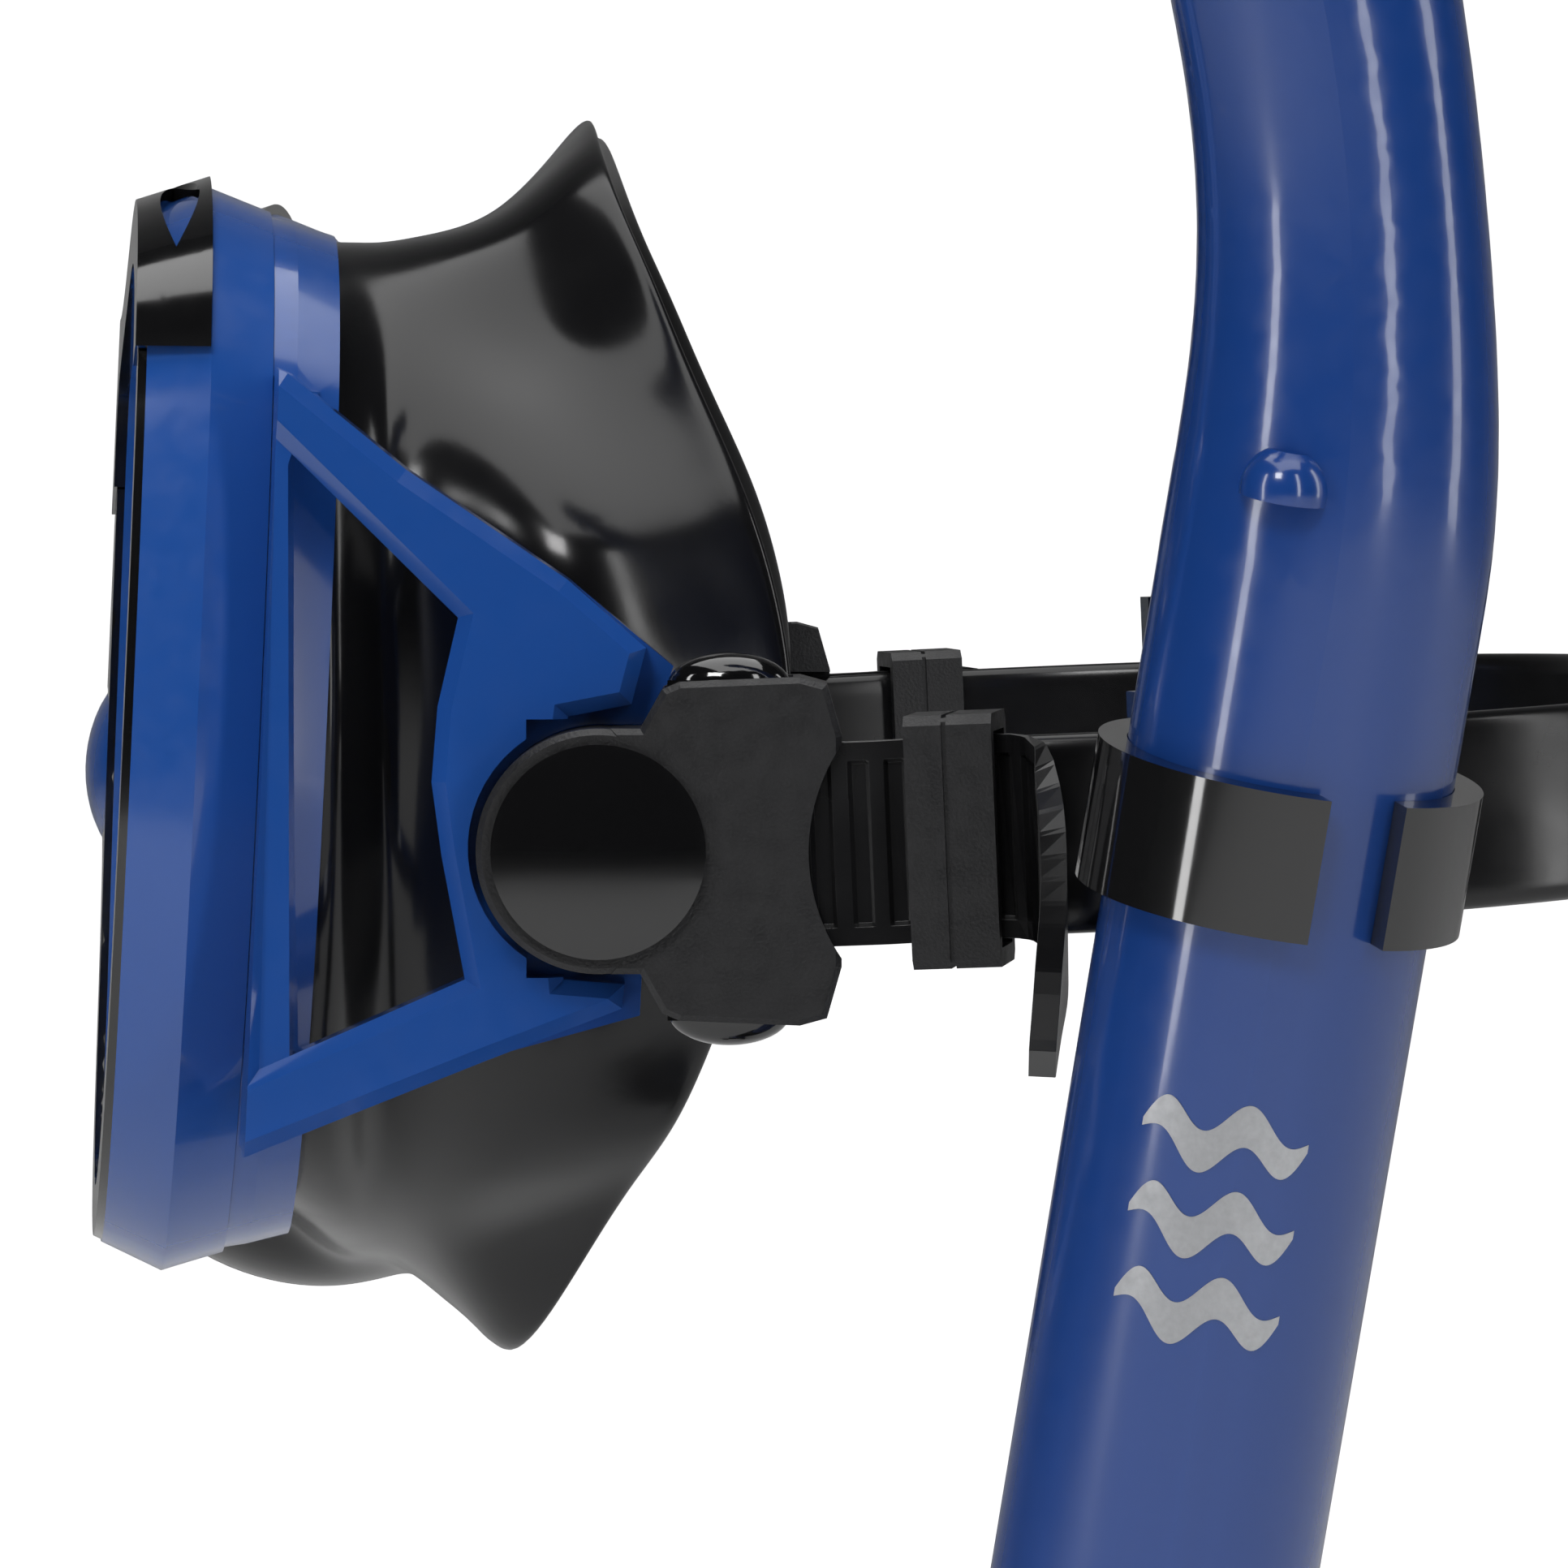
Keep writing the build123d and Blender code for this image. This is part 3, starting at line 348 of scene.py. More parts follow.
def silicone(name, colour, roughness):
    """Polished silicone: soft hand-shaped waviness, a dusting of lint-dull patches and a faint sheen."""
    material, tree, shader = new_material(name)
    cloud = noise(tree, 35, 3)
    tree.links.new(tint(tree, cloud, colour, [c * 1.7 for c in colour]), shader.inputs["Base Color"])
    uneven = spread(tree, noise(tree, 90, 5), roughness * 0.75, roughness * 1.35)
    tree.links.new(uneven, shader.inputs["Roughness"])
    waves = bump(tree, noise(tree, 38, 2), 0.16, 0.0009)
    tree.links.new(bump(tree, noise(tree, 1500, 3), 0.05, 0.00006, waves), shader.inputs["Normal"])
    shader.inputs["IOR"].default_value = 1.47
    shader.inputs["Sheen Weight"].default_value = 0.04
    shader.inputs["Sheen Roughness"].default_value = 0.4
    return material


def clear_glass(name):
    """Tempered glass with a faint green cast and a trace of smears."""
    material, tree, shader = new_material(name)
    clear = tint(tree, noise(tree, 20, 3), (0.90, 0.96, 0.95), (0.97, 1.0, 0.99))
    tree.links.new(clear, shader.inputs["Base Color"])
    tree.links.new(spread(tree, noise(tree, 60, 6), 0.0, 0.035), shader.inputs["Roughness"])
    shader.inputs["Transmission Weight"].default_value = 1.0
    shader.inputs["IOR"].default_value = 1.5
    return material


def bright_metal(name, colour, roughness):
    material, tree, shader = new_material(name)
    flake = noise(tree, 2200, 3)
    tree.links.new(tint(tree, flake, [c * 0.8 for c in colour], colour), shader.inputs["Base Color"])
    uneven = spread(tree, noise(tree, 900, 4), roughness * 0.8, roughness * 1.3)
    tree.links.new(uneven, shader.inputs["Roughness"])
    tree.links.new(bump(tree, flake, 0.2, 0.00004), shader.inputs["Normal"])
    shader.inputs["Metallic"].default_value = 1.0
    return material


FINISHES = {}


def finish(name):
    return FINISHES[name]


# ---------------------------------------------------------------- operators
class OBJECT_OT_mask_finishes(bpy.types.Operator):
    """Make the finishes and put them on the hard pieces of the frame"""
    bl_idname = "object.mask_finishes"
    bl_label = "Finishes on the hard pieces"

    def execute(self, context):
        choice = context.scene.mask_finish
        black = list(choice.black)
        FINISHES.update({
            "frame_blue": gloss_plastic("frame_blue_plastic", list(choice.frame_blue), 0.17, 0.7),
            "tube_blue": gloss_plastic("tube_blue_plastic", list(choice.tube_blue), 0.2, 0.6),
            "black_gloss": gloss_plastic("black_gloss_plastic", black, 0.08, 0.8),
            "black_matte": matte_plastic("black_grained_plastic", black, choice.grain),
            "silicone": silicone("black_polished_silicone", black, 0.17),
            "strap_silicone": silicone("black_strap_silicone", black, 0.21),
            "glass": clear_glass("clear_tempered_glass"),
            "steel": bright_metal("bright_spring_steel", (0.62, 0.62, 0.64), 0.25),
            "silver": bright_metal("silver_print", (0.60, 0.61, 0.63), 0.5),
        })
        by_slot = {"blue_plastic": "frame_blue", "black_gloss": "black_gloss", "black_matte": "black_matte",
                   "black_silicone": "silicone", "lens_glass": "glass", "steel": "steel"}
        for name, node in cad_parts.items():
            for holder in node.material_slots:
                key = by_slot[holder.material.name.split(".")[0]]
                if name in ("snorkel_barrel", "dry_top_base", "dry_top_cap", "purge_chamber"):
                    key = "tube_blue"
                holder.material = finish(key)
        return {"FINISHED"}


class OBJECT_OT_mask_skirt(bpy.types.Operator):
    """Build the silicone skirt with its nose pocket, pleated sides, flared brow and thin lip"""
    bl_idname = "object.mask_skirt"
    bl_label = "Skirt"

    COLUMNS = 80
    ROWS_PER_RING = 5

    def key_rings(self):
        front = []
        for x, z in RING_FRAME:
            front.append(Vector((x, FRAME_REAR_Y + 0.2 + x * SWEEP + z * TILT, z)))
        rings = [front]
        rings += [[Vector(p) for p in ring] for ring in (RING_ROLL, RING_GROOVE, RING_BELLY, RING_LIP)]
        return rings

    def station(self, ring, index):
        """Point of a ring counted from the top middle; past either end it carries on up the other side."""
        last = len(ring) - 1
        index = index % (2 * last)
        if index > last:
            p = ring[2 * last - index]
            return Vector((-p.x, p.y, p.z))
        return ring[index]

    def around(self, ring, column):
        spot = column * 2 * (len(ring) - 1) / self.COLUMNS
        base = math.floor(spot)
        return cubic(*[self.station(ring, base + k) for k in (-1, 0, 1, 2)], spot - base)

    def place(self, rings, column, depth):
        """Point at a column and a depth, 0 at the frame and 4 at the lip."""
        base = min(int(depth), len(rings) - 2)
        rows = []
        for k in (-1, 0, 1, 2):
            i = base + k
            if i < 0:
                rows.append(2 * self.around(rings[0], column) - self.around(rings[1], column))
            elif i >= len(rings):
                rows.append(2 * self.around(rings[-1], column) - self.around(rings[-2], column))
            else:
                rows.append(self.around(rings[i], column))
        return cubic(*rows, depth - base) + self.fold(column, depth, rows[1])

    def fold(self, column, depth, near):
        """Creases that gravity and handling leave in the free end of the skirt."""
        half = self.COLUMNS / 2
        side = min(column % self.COLUMNS, self.COLUMNS - column % self.COLUMNS) / half * 10
        out = Vector((near.x, 0, near.z)).normalized()
        push = 1.9 * bell(side, 1.9, 0.28) * bell(depth, 3.75, 0.5)
        push -= 2.6 * bell(side, 2.75, 0.5) * bell(depth, 3.1, 0.65)
        push += 1.6 * bell(side, 4.0, 0.6) * bell(depth, 3.0, 0.6)
        push -= 1.7 * bell(side, 8.2, 0.45) * bell(depth, 3.2, 0.6)
        push += 1.2 * bell(side, 8.95, 0.3) * bell(depth, 3.6, 0.6)
        push -= 1.2 * bell(side, 0.6, 0.5) * bell(depth, 3.4, 0.6)
        push += 0.5 * math.sin(side * 5.2 + depth * 1.7) * ease((depth - 2) / 2)
        return out * push

    def pocket(self, point):
        """Push a point out to the nose pocket's surface where it would lie inside it."""
        away = point - NOSE_AT
        reach = Vector([a / s for a, s in zip(away, NOSE_SIZE)]).length
        if reach > 1.5 or reach < 1e-3:
            return point
        blend = 0.16
        share = max(0.0, 1 - abs(reach - 1) / blend) if reach > 1 - blend else 0.0
        wanted = max(reach, 1.0) + share * share * blend / 4
        return NOSE_AT + away * (wanted / reach)

    def execute(self, context):
        wall = context.scene.mask_soft.skirt_wall
        rings = self.key_rings()
        bm = bmesh.new()
        columns = range(self.COLUMNS)
        first = row = first_ring(bm, [self.place(rings, c, 0) for c in columns])
        steps = (len(rings) - 1) * self.ROWS_PER_RING
        for step in range(1, steps + 1):
            depth = step / self.ROWS_PER_RING
            row = next_row(bm, row, [self.place(rings, c, depth) for c in columns])
        # the seal turns inwards behind the lip
        for inward, ahead in ((0.6, -0.5), (2.4, 0.2), (5.5, 1.6), (9.0, 3.6)):
            places = []
            for c in columns:
                lip = self.place(rings, c, len(rings) - 1)
                inner = Vector((-lip.x, 0, -lip.z)).normalized()
                places.append(lip + inner * inward + Vector((0, -ahead, 0)))
            row = next_row(bm, row, places)
        # the bridge between the windows runs down into the nose pocket
        span = self.COLUMNS // 20
        strip = [first[c % self.COLUMNS] for c in range(-span, span + 1)]
        bottom = [first[self.COLUMNS // 2 - c].co.copy() for c in range(-span, span + 1)]
        levels = 20
        for level in range(1, levels + 1):
            z = BRIDGE[0][0] + (BRIDGE[-1][0] - BRIDGE[0][0]) * level / levels
            width = next((a[1] + (b[1] - a[1]) * (a[0] - z) / (a[0] - b[0])
                          for a, b in zip(BRIDGE, BRIDGE[1:]) if b[0] <= z <= a[0]), BRIDGE[-1][1])
            places = []
            for c in range(-span, span + 1):
                x = width * c / span
                places.append(Vector((x, FRAME_REAR_Y + 0.4 + abs(x) * SWEEP + z * TILT, z)))
            strip = next_row(bm, strip, bottom if level == levels else places, closed=False)
        bmesh.ops.remove_doubles(bm, verts=bm.verts, dist=0.01)
        for v in bm.verts:
            v.co = self.pocket(v.co)
        bmesh.ops.recalc_face_normals(bm, faces=bm.faces)
        skirt = finish_piece(bm, "skirt_body", finish("silicone"), "mask", ["skirt"])
        thin = skirt.vertex_groups.new(name="wall")
        for v in skirt.data.vertices:
            y = v.co.y / MM
            limit = 94 - math.sqrt(max(0.0, 110 ** 2 - (v.co.x / MM) ** 2))
            thin.add([v.index], 1.0 - 0.6 * ease((y - limit + 9) / 9), "REPLACE")
        shell = skirt.modifiers.new("Wall", "SOLIDIFY")
        shell.thickness = wall
        shell.offset = -1
        shell.vertex_group = "wall"
        add_subdivision(skirt, 2)
        return {"FINISHED"}


class OBJECT_OT_mask_strap(bpy.types.Operator):
    """Build the split head strap and its two ribbed tails"""
    bl_idname = "object.mask_strap"
    bl_label = "Strap and tails"

    def lifted(self, point):
        """Tip a point upwards to the rear about the rollers' line."""
        y, z = point.y - ROLLER.y, point.z - ROLLER.z
        return Vector((point.x, ROLLER.y + y * math.cos(RISE) - z * math.sin(RISE),
                       ROLLER.z + y * math.sin(RISE) + z * math.cos(RISE)))

    def centre_line(self):
        """Stations of the strap from the left roller round to the middle of the back."""
        leave = Vector((ROLLER.x - WRAP_R * math.cos(LEAD_ANGLE),
                        ROLLER.y + WRAP_R * math.sin(LEAD_ANGLE), 0))
        way = Vector((math.sin(LEAD_ANGLE), math.cos(LEAD_ANGLE), 0))
        bend = leave + way * LEAD
        centre = Vector((bend.x - LOOP_R * math.cos(LEAD_ANGLE), bend.y + LOOP_R * math.sin(LEAD_ANGLE), 0))
        line = [leave + way * LEAD * k / 3 for k in range(3)]
        turns = 30
        for k in range(turns + 1):
            turn = -LEAD_ANGLE + (math.pi / 2 + LEAD_ANGLE) * k / turns
            line.append(centre + Vector((math.cos(turn), math.sin(turn), 0)) * LOOP_R)
        line += [Vector((centre.x * (1 - k / 6), centre.y + LOOP_R, 0)) for k in range(1, 7)]
        return line

    def head_strap(self, width, thickness):
        half = self.centre_line()
        line = half + [Vector((-p.x, p.y, 0)) for p in reversed(half[:-1])]
        bm = bmesh.new()
        row = None
        opened = []
        for p in line:
            split = ease((46 - abs(p.x)) / 22) if p.y > 60 else 0.0
            outer = width / 2 + (17 - width / 2) * split
            inner = max(0.9, 5.5 * split)
            between = outer * 0.62 + inner * 0.38
            offsets = (-outer, -between, -inner, inner, between, outer)
            places = [self.lifted(Vector((p.x, p.y, ROLLER.z + z))) for z in offsets]
            row = first_line(bm, places) if row is None else next_row(bm, row, places, closed=False)
            opened.append((row, split))
        gone = []
        for (a, s), (b, t) in zip(opened, opened[1:]):
            if min(s, t) > 0.1:
                edge = bm.edges.get((a[2], a[3]))
                gone += [f for f in edge.link_faces if b[2] in f.verts]
        bmesh.ops.delete(bm, geom=gone, context="FACES")
        bmesh.ops.recalc_face_normals(bm, faces=bm.faces)
        strap = finish_piece(bm, "head_strap", finish("strap_silicone"), "left_buckle",
                             ["strap"])
        wall = strap.modifiers.new("Thickness", "SOLIDIFY")
        wall.thickness = thickness * MM
        wall.offset = 0
        add_subdivision(strap, 2)
        return strap

    def tail_frames(self):
        """Key stations of the free tail: centre, width direction, heading, width."""
        way = Vector((math.sin(TAIL_ANGLE), math.cos(TAIL_ANGLE), 0))
        leave = Vector((ROLLER.x + WRAP_R * math.cos(TAIL_ANGLE),
                        ROLLER.y - WRAP_R * math.sin(TAIL_ANGLE), ROLLER.z))
        end = leave + way * TAIL_LENGTH
        up = Vector((0, 0, 1))
        return [(leave, up, way, STRAP_W), (leave + way * TAIL_LENGTH * 0.5, up, way, STRAP_W),
                (end, up, way, STRAP_W),
                (end + Vector((2.2, 1.9, -2.6)), Vector((0.45, 0, 0.89)), Vector((0.75, 0.5, -0.43)), 16.2),
                (end + Vector((4.9, 2.0, -8.0)), Vector((0.72, 0, 0.69)), Vector((0.55, 0.0, -0.84)), 14.6),
                (end + Vector((6.6, 1.2, -13.4)), Vector((0.85, 0, 0.52)), Vector((0.42, -0.1, -0.9)), 12.0),
                (end + Vector((7.6, 0.5, -18.0)), Vector((0.9, 0, 0.44)), Vector((0.4, -0.1, -0.9)), 7.0)]

    def tail(self, mirrored, pitch, thickness):
        keys = self.tail_frames()
        lengths = [0.0]
        for a, b in zip(keys, keys[1:]):
            lengths.append(lengths[-1] + (b[0] - a[0]).length)
        marks = []
        at = 0.0
        while at < lengths[-1] - 3.2:
            for offset, rib in ((0.0, 1), (pitch * 0.42, 1), (pitch * 0.52, 0), (pitch * 0.9, 0)):
                marks.append((at + offset, rib))
            at += pitch
        marks += [(at, 1), (lengths[-1] - 0.8, 1), (lengths[-1], 1)]
        bm = bmesh.new()
        rings = []
        for mark, rib in marks:
            i = max(k for k in range(len(keys) - 1) if lengths[k] <= mark + 1e-6)
            t = (mark - lengths[i]) / (lengths[i + 1] - lengths[i])
            near = [keys[max(0, min(len(keys) - 1, i + k))] for k in (-1, 0, 1, 2)]
            centre = cubic(*[n[0] for n in near], t)
            wide = cubic(*[n[1] for n in near], t).normalized()
            heading = cubic(*[n[2] for n in near], t).normalized()
            half = cubic(*[n[3] for n in near], t) / 2
            if mark > lengths[-1] - 0.4:
                half *= 0.8
            out = wide.cross(heading) * -1
            top = thickness / 2
            floor = top if rib else top - 0.62
            section = [(-half, -top), (half, -top), (half, top), (half - 1.5, top), (half - 1.8, floor),
                       (-half + 1.8, floor), (-half + 1.5, top), (-half, top)]
            rings.append([self.lifted(centre + wide * w + out * h) for w, h in section])
        first, last = loft_rings(bm, rings)
        bmesh.ops.contextual_create(bm, geom=last)
        bmesh.ops.contextual_create(bm, geom=first)
        if mirrored:
            bmesh.ops.scale(bm, vec=(-1, 1, 1), verts=bm.verts)
        bmesh.ops.recalc_face_normals(bm, faces=bm.faces)
        side = "right" if mirrored else "left"
        tail = finish_piece(bm, f"strap_tail_{side}", finish("strap_silicone"), "left_buckle",
                            smooth=False)
        soft = tail.modifiers.new("Edges", "BEVEL")
        soft.width = 0.00018
        soft.segments = 2
        soft.limit_method = "ANGLE"
        return tail

    def execute(self, context):
        choice = context.scene.mask_soft
        self.head_strap(choice.strap_width / MM, choice.strap_thickness / MM)
        for mirrored in (False, True):
            self.tail(mirrored, choice.rib_pitch / MM, choice.strap_thickness / MM)
        return {"FINISHED"}


class OBJECT_OT_mask_hose(bpy.types.Operator):
    """Spin the corrugated hose that joins the barrel to the lower chamber"""
    bl_idname = "object.mask_hose"
    bl_label = "Corrugated hose"

    def execute(self, context):
        folds = context.scene.mask_soft.hose_folds
        top = -TUBE_DOWN + 9.0
        start, stop = -TUBE_DOWN - 1.5, CHAMBER_Z + 1.0
        cuff = TUBE_R + 2.0
        outline = [(TUBE_R + 0.1, top), (cuff - 0.5, top), (cuff, top - 0.6), (cuff, start + 1.2)]
        steps = folds * 6
        for i in range(steps + 1):
            z = start + (stop - start) * i / steps
            outline.append((15.0 + 1.15 * math.sin(2 * math.pi * folds * i / steps - math.pi / 2), z))
        outline += [(cuff, CHAMBER_Z - 0.6), (cuff, CHAMBER_Z - 7.4), (cuff - 0.5, CHAMBER_Z - 8.0),
                    (TUBE_R + 0.1, CHAMBER_Z - 8.0), (TUBE_R + 0.1, CHAMBER_Z), (TUBE_R - 1.2, CHAMBER_Z)]
        for i in range(steps + 1):
            z = stop + (start - stop) * i / steps
            outline.append((12.6 + 0.7 * math.sin(2 * math.pi * folds * i / steps - math.pi / 2), z))
        outline += [(TUBE_R - 1.2, -TUBE_DOWN), (TUBE_R + 0.1, -TUBE_DOWN)]
        bm = bmesh.new()
        ring = first_ring(bm, [Vector((r, 0, z)) for r, z in outline])
        edges = [e for e in bm.edges]
        bmesh.ops.spin(bm, geom=ring + edges, cent=(0, 0, 0), axis=(0, 0, 1), angle=2 * math.pi, steps=64,
                       use_merge=True)
        bmesh.ops.remove_doubles(bm, verts=bm.verts, dist=1e-4)
        bmesh.ops.recalc_face_normals(bm, faces=bm.faces)
        bmesh.ops.transform(bm, matrix=tube_matrix(), verts=bm.verts)
        finish_piece(bm, "corrugated_hose", finish("silicone"), "lower_end", ["flex_hose"])
        return {"FINISHED"}


class OBJECT_OT_mask_mouthpiece(bpy.types.Operator):
    """Build the mouthpiece with its lip flange and two bite tabs, and the valve discs"""
    bl_idname = "object.mask_mouthpiece"
    bl_label = "Mouthpiece and valve discs"

    def oval(self, wide, tall, depth, curl=0.0):
        ring = []
        for i in range(40):
            turn = 2 * math.pi * i / 40
            x, y = wide * math.cos(turn), tall * math.sin(turn)
            ring.append(Vector((x, y, depth + curl * (y / FLANGE_HALF) ** 2)))
        return ring

    def mouthpiece(self):
        bm = bmesh.new()
        loft_rings(bm, [
            self.oval(8.1, 12.1, 18.0), self.oval(9.7, 13.7, 17.9), self.oval(10.2, 14.2, 18.6),
            self.oval(10.2, 14.2, 27.0), self.oval(9.4, 13.4, 30.0), self.oval(9.8, 14.6, 32.5, 1.5),
            self.oval(12.6, 21.5, 33.8, 3.2), self.oval(13.9, 24.0, 34.4, 3.4),
            self.oval(14.2, 24.4, 35.2, 3.4), self.oval(13.9, 24.0, 36.0, 3.4),
            self.oval(12.0, 20.0, 36.2, 3.2), self.oval(7.2, 11.4, 36.2, 2.0),
            self.oval(6.2, 10.2, 35.6, 1.0), self.oval(6.0, 10.0, 28.0), self.oval(8.1, 12.1, 27.0)],
            join_ends=True)
        for way in (1, -1):
            self.bite(bm, way)
        bmesh.ops.recalc_face_normals(bm, faces=bm.faces)
        bmesh.ops.transform(bm, matrix=mouth_matrix(), verts=bm.verts)
        piece = finish_piece(bm, "bite_mouthpiece", finish("silicone"), "lower_end",
                             ["mouthpiece"])
        add_subdivision(piece, 1)

    def bite(self, bm, way):
        """Neck and ridged pad of one bite tab."""
        for size, depth in (((3.0, 7.6, 9.5), 40.6), ((8.6, 8.2, 2.6), 45.4), ((4.2, 8.2, 1.8), 42.4)):
            made = bmesh.ops.create_cube(bm, size=1)["verts"]
            bmesh.ops.scale(bm, vec=size, verts=made)
            bmesh.ops.translate(bm, vec=(0, way * 13, depth), verts=made)
            edges = list({e for v in made for e in v.link_edges})
            bmesh.ops.bevel(bm, geom=edges, offset=0.7, segments=2, profile=0.5, affect="EDGES", material=-1)

    def disc(self, name, outline, matrix, body, node, extra=None):
        bm = bmesh.new()
        line = first_line(bm, [Vector((r, 0, z)) for r, z in outline])
        edges = [bm.edges.get((a, b)) for a, b in zip(line, line[1:])]
        bmesh.ops.spin(bm, geom=line + edges, cent=(0, 0, 0), axis=(0, 0, 1), angle=2 * math.pi, steps=48,
                       use_merge=True)
        bmesh.ops.remove_doubles(bm, verts=bm.verts, dist=1e-4)
        if extra:
            extra(bm)
        bmesh.ops.recalc_face_normals(bm, faces=bm.faces)
        bmesh.ops.transform(bm, matrix=matrix, verts=bm.verts)
        finish_piece(bm, name, finish("silicone"), body, [node])

    def flap_tail(self, bm):
        """Hinge barrel and push tab of the dry top's flap, with the disc's centre ahead of the hinge."""
        bmesh.ops.translate(bm, vec=(0, -HINGE_Y, 0), verts=bm.verts)
        made = bmesh.ops.create_cone(bm, cap_ends=True, segments=24, radius1=1.4, radius2=1.4,
                                     depth=7.6)["verts"]
        bmesh.ops.rotate(bm, cent=(0, 0, 0), matrix=Matrix.Rotation(math.pi / 2, 3, "Y"), verts=made)
        for size, at in (((7.0, 4.2, 1.1), (0, -1.8, -0.7)), ((6.0, 1.8, 1.0), (0, 1.2, 0))):
            made = bmesh.ops.create_cube(bm, size=1)["verts"]
            bmesh.ops.scale(bm, vec=size, verts=made)
            bmesh.ops.translate(bm, vec=at, verts=made)
            edges = list({e for v in made for e in v.link_edges})
            bmesh.ops.bevel(bm, geom=edges, offset=0.2, segments=2, profile=0.5, affect="EDGES", material=-1)

    def execute(self, context):
        self.mouthpiece()
        foot = CHAMBER_Z - CHAMBER_H - CHAMBER_NECK
        valve = [(0, -0.9), (2.0, -0.9), (2.4, -0.5), (8.0, -0.35), (11.3, -0.75), (11.5, -0.5), (11.2, -0.1),
                 (8.0, -0.05), (2.2, -0.05), (0, -0.05)]
        place = tube_matrix() @ Matrix.Translation((0, 0, foot))
        self.disc("purge_valve_disc", valve, place, "lower_end", "purge_flap")
        seal = [(0, -1.2), (9.4, -1.2), (9.9, -1.35), (10.6, -1.35), (11.1, -1.1), (11.1, -0.4), (10.8, -0.1),
                (8.0, -0.1), (7.6, -0.4), (0, -0.4)]
        hinge = top_matrix() @ Matrix.Translation((0, HINGE_Y, HINGE_Z)) @ Matrix.Rotation(-FLAP_OPEN, 4, "X")
        self.disc("dry_top_seal_flap", seal, hinge, "dry_flap", "dry_top_flap", self.flap_tail)
        return {"FINISHED"}


class OBJECT_OT_mask_print(bpy.types.Operator):
    """Lay a plain silver wave pattern on the barrel"""
    bl_idname = "object.mask_print"
    bl_label = "Printed waves"

    def execute(self, context):
        for index, (low, tall) in enumerate(((-22.5, 3.4), (-29.5, 3.4), (-36.5, 3.4))):
            bm = bmesh.new()
            bmesh.ops.create_grid(bm, x_segments=64, y_segments=2, size=1)
            for v in bm.verts:
                share, edge = v.co.x, v.co.y
                turn = math.radians(-6 + 30 * share)
                z = low + 1.3 * math.sin(share * 2.0 * math.pi) + edge * tall / 2 * (1 - 0.8 * share ** 4)
                radius = TUBE_R + 0.04
                v.co = Vector((radius * math.cos(turn), radius * math.sin(turn), z))
            bmesh.ops.recalc_face_normals(bm, faces=bm.faces)
            bmesh.ops.transform(bm, matrix=tube_matrix(), verts=bm.verts)
            mark = finish_piece(bm, f"printed_wave_{index + 1}", finish("silver"), "tube",
                                smooth=False)
            film = mark.modifiers.new("Film", "SOLIDIFY")
            film.thickness = 0.00006
            film.offset = 0
        return {"FINISHED"}


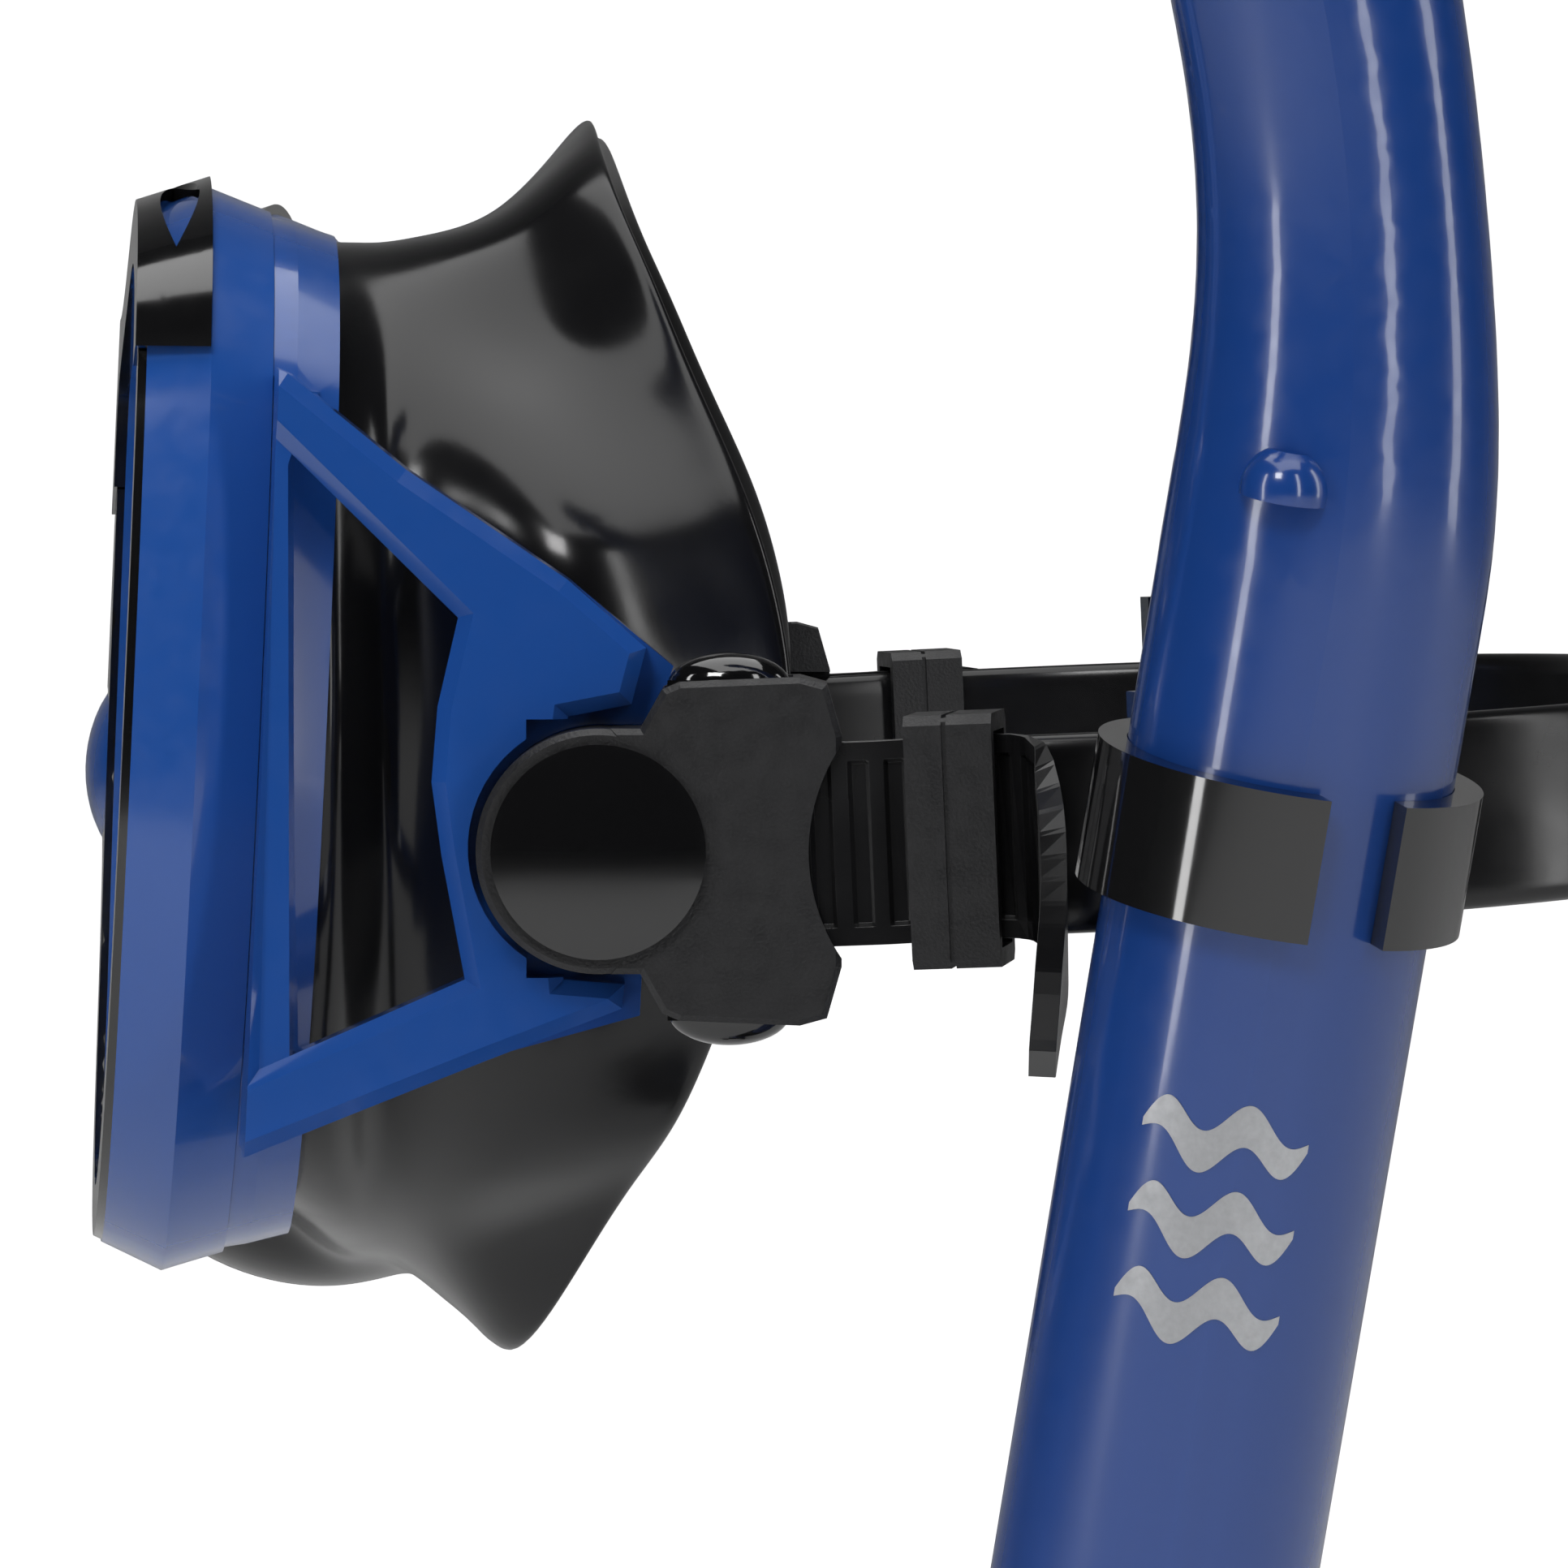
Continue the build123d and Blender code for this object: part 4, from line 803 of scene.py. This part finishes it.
class OBJECT_OT_mask_stage(bpy.types.Operator):
    """Set the pale floor and backdrop, the soft studio lights and the camera"""
    bl_idname = "object.mask_stage"
    bl_label = "Studio and camera"

    PITCH = math.radians(2.5)
    TARGET = (0.085, 0.0071, -0.0062)
    DISTANCE = 0.7

    def backdrop(self, brightness):
        bm = bmesh.new()
        profile = [Vector((4, -4, -0.205)), Vector((-1.2, -4, -0.205))]
        for k in range(1, 9):
            turn = math.pi / 2 * k / 8
            profile.append(Vector((-1.2 - math.sin(turn), -4, 0.795 - math.cos(turn))))
        profile.append(Vector((-2.2, -4, 4)))
        row = first_line(bm, profile)
        next_row(bm, row, [p + Vector((0, 8, 0)) for p in profile], closed=False)
        mesh = bpy.data.meshes.new("backdrop")
        bmesh.ops.recalc_face_normals(bm, faces=bm.faces)
        bm.to_mesh(mesh)
        bm.free()
        mesh.shade_smooth()
        sweep = bpy.data.objects.new("backdrop", mesh)
        bpy.context.scene.collection.objects.link(sweep)
        material, tree, shader = new_material("pale_paper")
        pale = tint(tree, noise(tree, 6, 3), (0.86, 0.86, 0.86), (0.9, 0.9, 0.9))
        tree.links.new(pale, shader.inputs["Base Color"])
        shader.inputs["Roughness"].default_value = 0.9
        shader.inputs["Emission Color"].default_value = (1, 1, 1, 1)
        self.pale_to_camera(tree, shader.inputs["Emission Strength"], 0.0, brightness * 0.95)
        mesh.materials.append(material)

    def pale_to_camera(self, tree, socket, unseen, seen):
        """Glow that whitens the empty surroundings but hardly lights the object."""
        path = tree.nodes.new("ShaderNodeLightPath")
        node = tree.nodes.new("ShaderNodeMapRange")
        node.inputs["To Min"].default_value = unseen
        node.inputs["To Max"].default_value = seen
        tree.links.new(path.outputs["Is Camera Ray"], node.inputs["Value"])
        tree.links.new(node.outputs["Result"], socket)

    def softbox(self, name, at, aim, size, power):
        lamp = bpy.data.lights.new(name, "AREA")
        lamp.shape = "RECTANGLE"
        lamp.size, lamp.size_y = size
        lamp.energy = power
        holder = bpy.data.objects.new(name, lamp)
        bpy.context.scene.collection.objects.link(holder)
        holder.location = at
        holder.rotation_mode = "QUATERNION"
        holder.rotation_quaternion = (Vector(at) - Vector(aim)).to_track_quat("Z", "Y")

    def execute(self, context):
        choice = context.scene.mask_studio
        scene = context.scene
        self.backdrop(choice.floor)
        aim = (0.06, 0.02, 0.0)
        self.softbox("overhead", (0.15, 0.05, 1.05), aim, (1.0, 1.3), choice.key)
        self.softbox("strip_front", (0.72, -0.92, 0.12), aim, (0.12, 1.5), choice.strips)
        self.softbox("strip_rear", (1.05, 0.66, 0.16), aim, (0.14, 1.5), choice.strips * 0.8)
        self.softbox("strip_back", (0.1, 1.2, 0.25), aim, (0.2, 1.2), choice.strips * 0.6)
        self.softbox("window", (0.95, -0.28, 0.75), aim, (0.3, 0.3), choice.strips * 0.9)
        world = bpy.data.worlds.new("studio_air")
        world.use_nodes = True
        self.pale_to_camera(world.node_tree, world.node_tree.nodes["Background"].inputs["Strength"], 0.1, 1.0)
        scene.world = world
        scene.view_settings.view_transform = "Standard"
        lens = bpy.data.cameras.new("camera")
        lens.lens = 195.65
        lens.sensor_width = 36.0
        lens.clip_start, lens.clip_end = 0.01, 50
        camera = bpy.data.objects.new("camera", lens)
        scene.collection.objects.link(camera)
        c, s = math.cos(self.PITCH), math.sin(self.PITCH)
        turned = Matrix(((0, -s, c), (1, 0, 0), (0, c, s))).to_4x4()
        back = Vector((c, 0, s)) * self.DISTANCE
        camera.matrix_world = Matrix.Translation(Vector(self.TARGET) + back) @ turned
        scene.camera = camera
        return {"FINISHED"}


STEPS = (OBJECT_OT_mask_finishes, OBJECT_OT_mask_skirt, OBJECT_OT_mask_strap, OBJECT_OT_mask_hose,
         OBJECT_OT_mask_mouthpiece, OBJECT_OT_mask_print, OBJECT_OT_mask_stage)


class VIEW3D_PT_snorkel_mask(bpy.types.Panel):
    """Sidebar list of the mask's building steps"""
    bl_label = "Snorkel Mask"
    bl_space_type = "VIEW_3D"
    bl_region_type = "UI"
    bl_category = "Mask"

    def draw(self, context):
        for step in STEPS:
            self.layout.operator(step.bl_idname)


GROUPS = (("mask_finish", MaskFinishSettings), ("mask_soft", MaskSoftSettings),
          ("mask_studio", MaskStudioSettings))


def register():
    for name, group in GROUPS:
        bpy.utils.register_class(group)
        setattr(bpy.types.Scene, name, bpy.props.PointerProperty(type=group))
    for step in (*STEPS, VIEW3D_PT_snorkel_mask):
        bpy.utils.register_class(step)


def unregister():
    for step in reversed((*STEPS, VIEW3D_PT_snorkel_mask)):
        bpy.utils.unregister_class(step)
    for name, group in reversed(GROUPS):
        delattr(bpy.types.Scene, name)
        bpy.utils.unregister_class(group)


def main():
    register()
    bpy.ops.object.mask_finishes()
    bpy.ops.object.mask_skirt()
    bpy.ops.object.mask_strap()
    bpy.ops.object.mask_hose()
    bpy.ops.object.mask_mouthpiece()
    bpy.ops.object.mask_print()
    bpy.ops.object.mask_stage()
    bpy.context.view_layer.update()


if __name__ == "__main__":
    main()
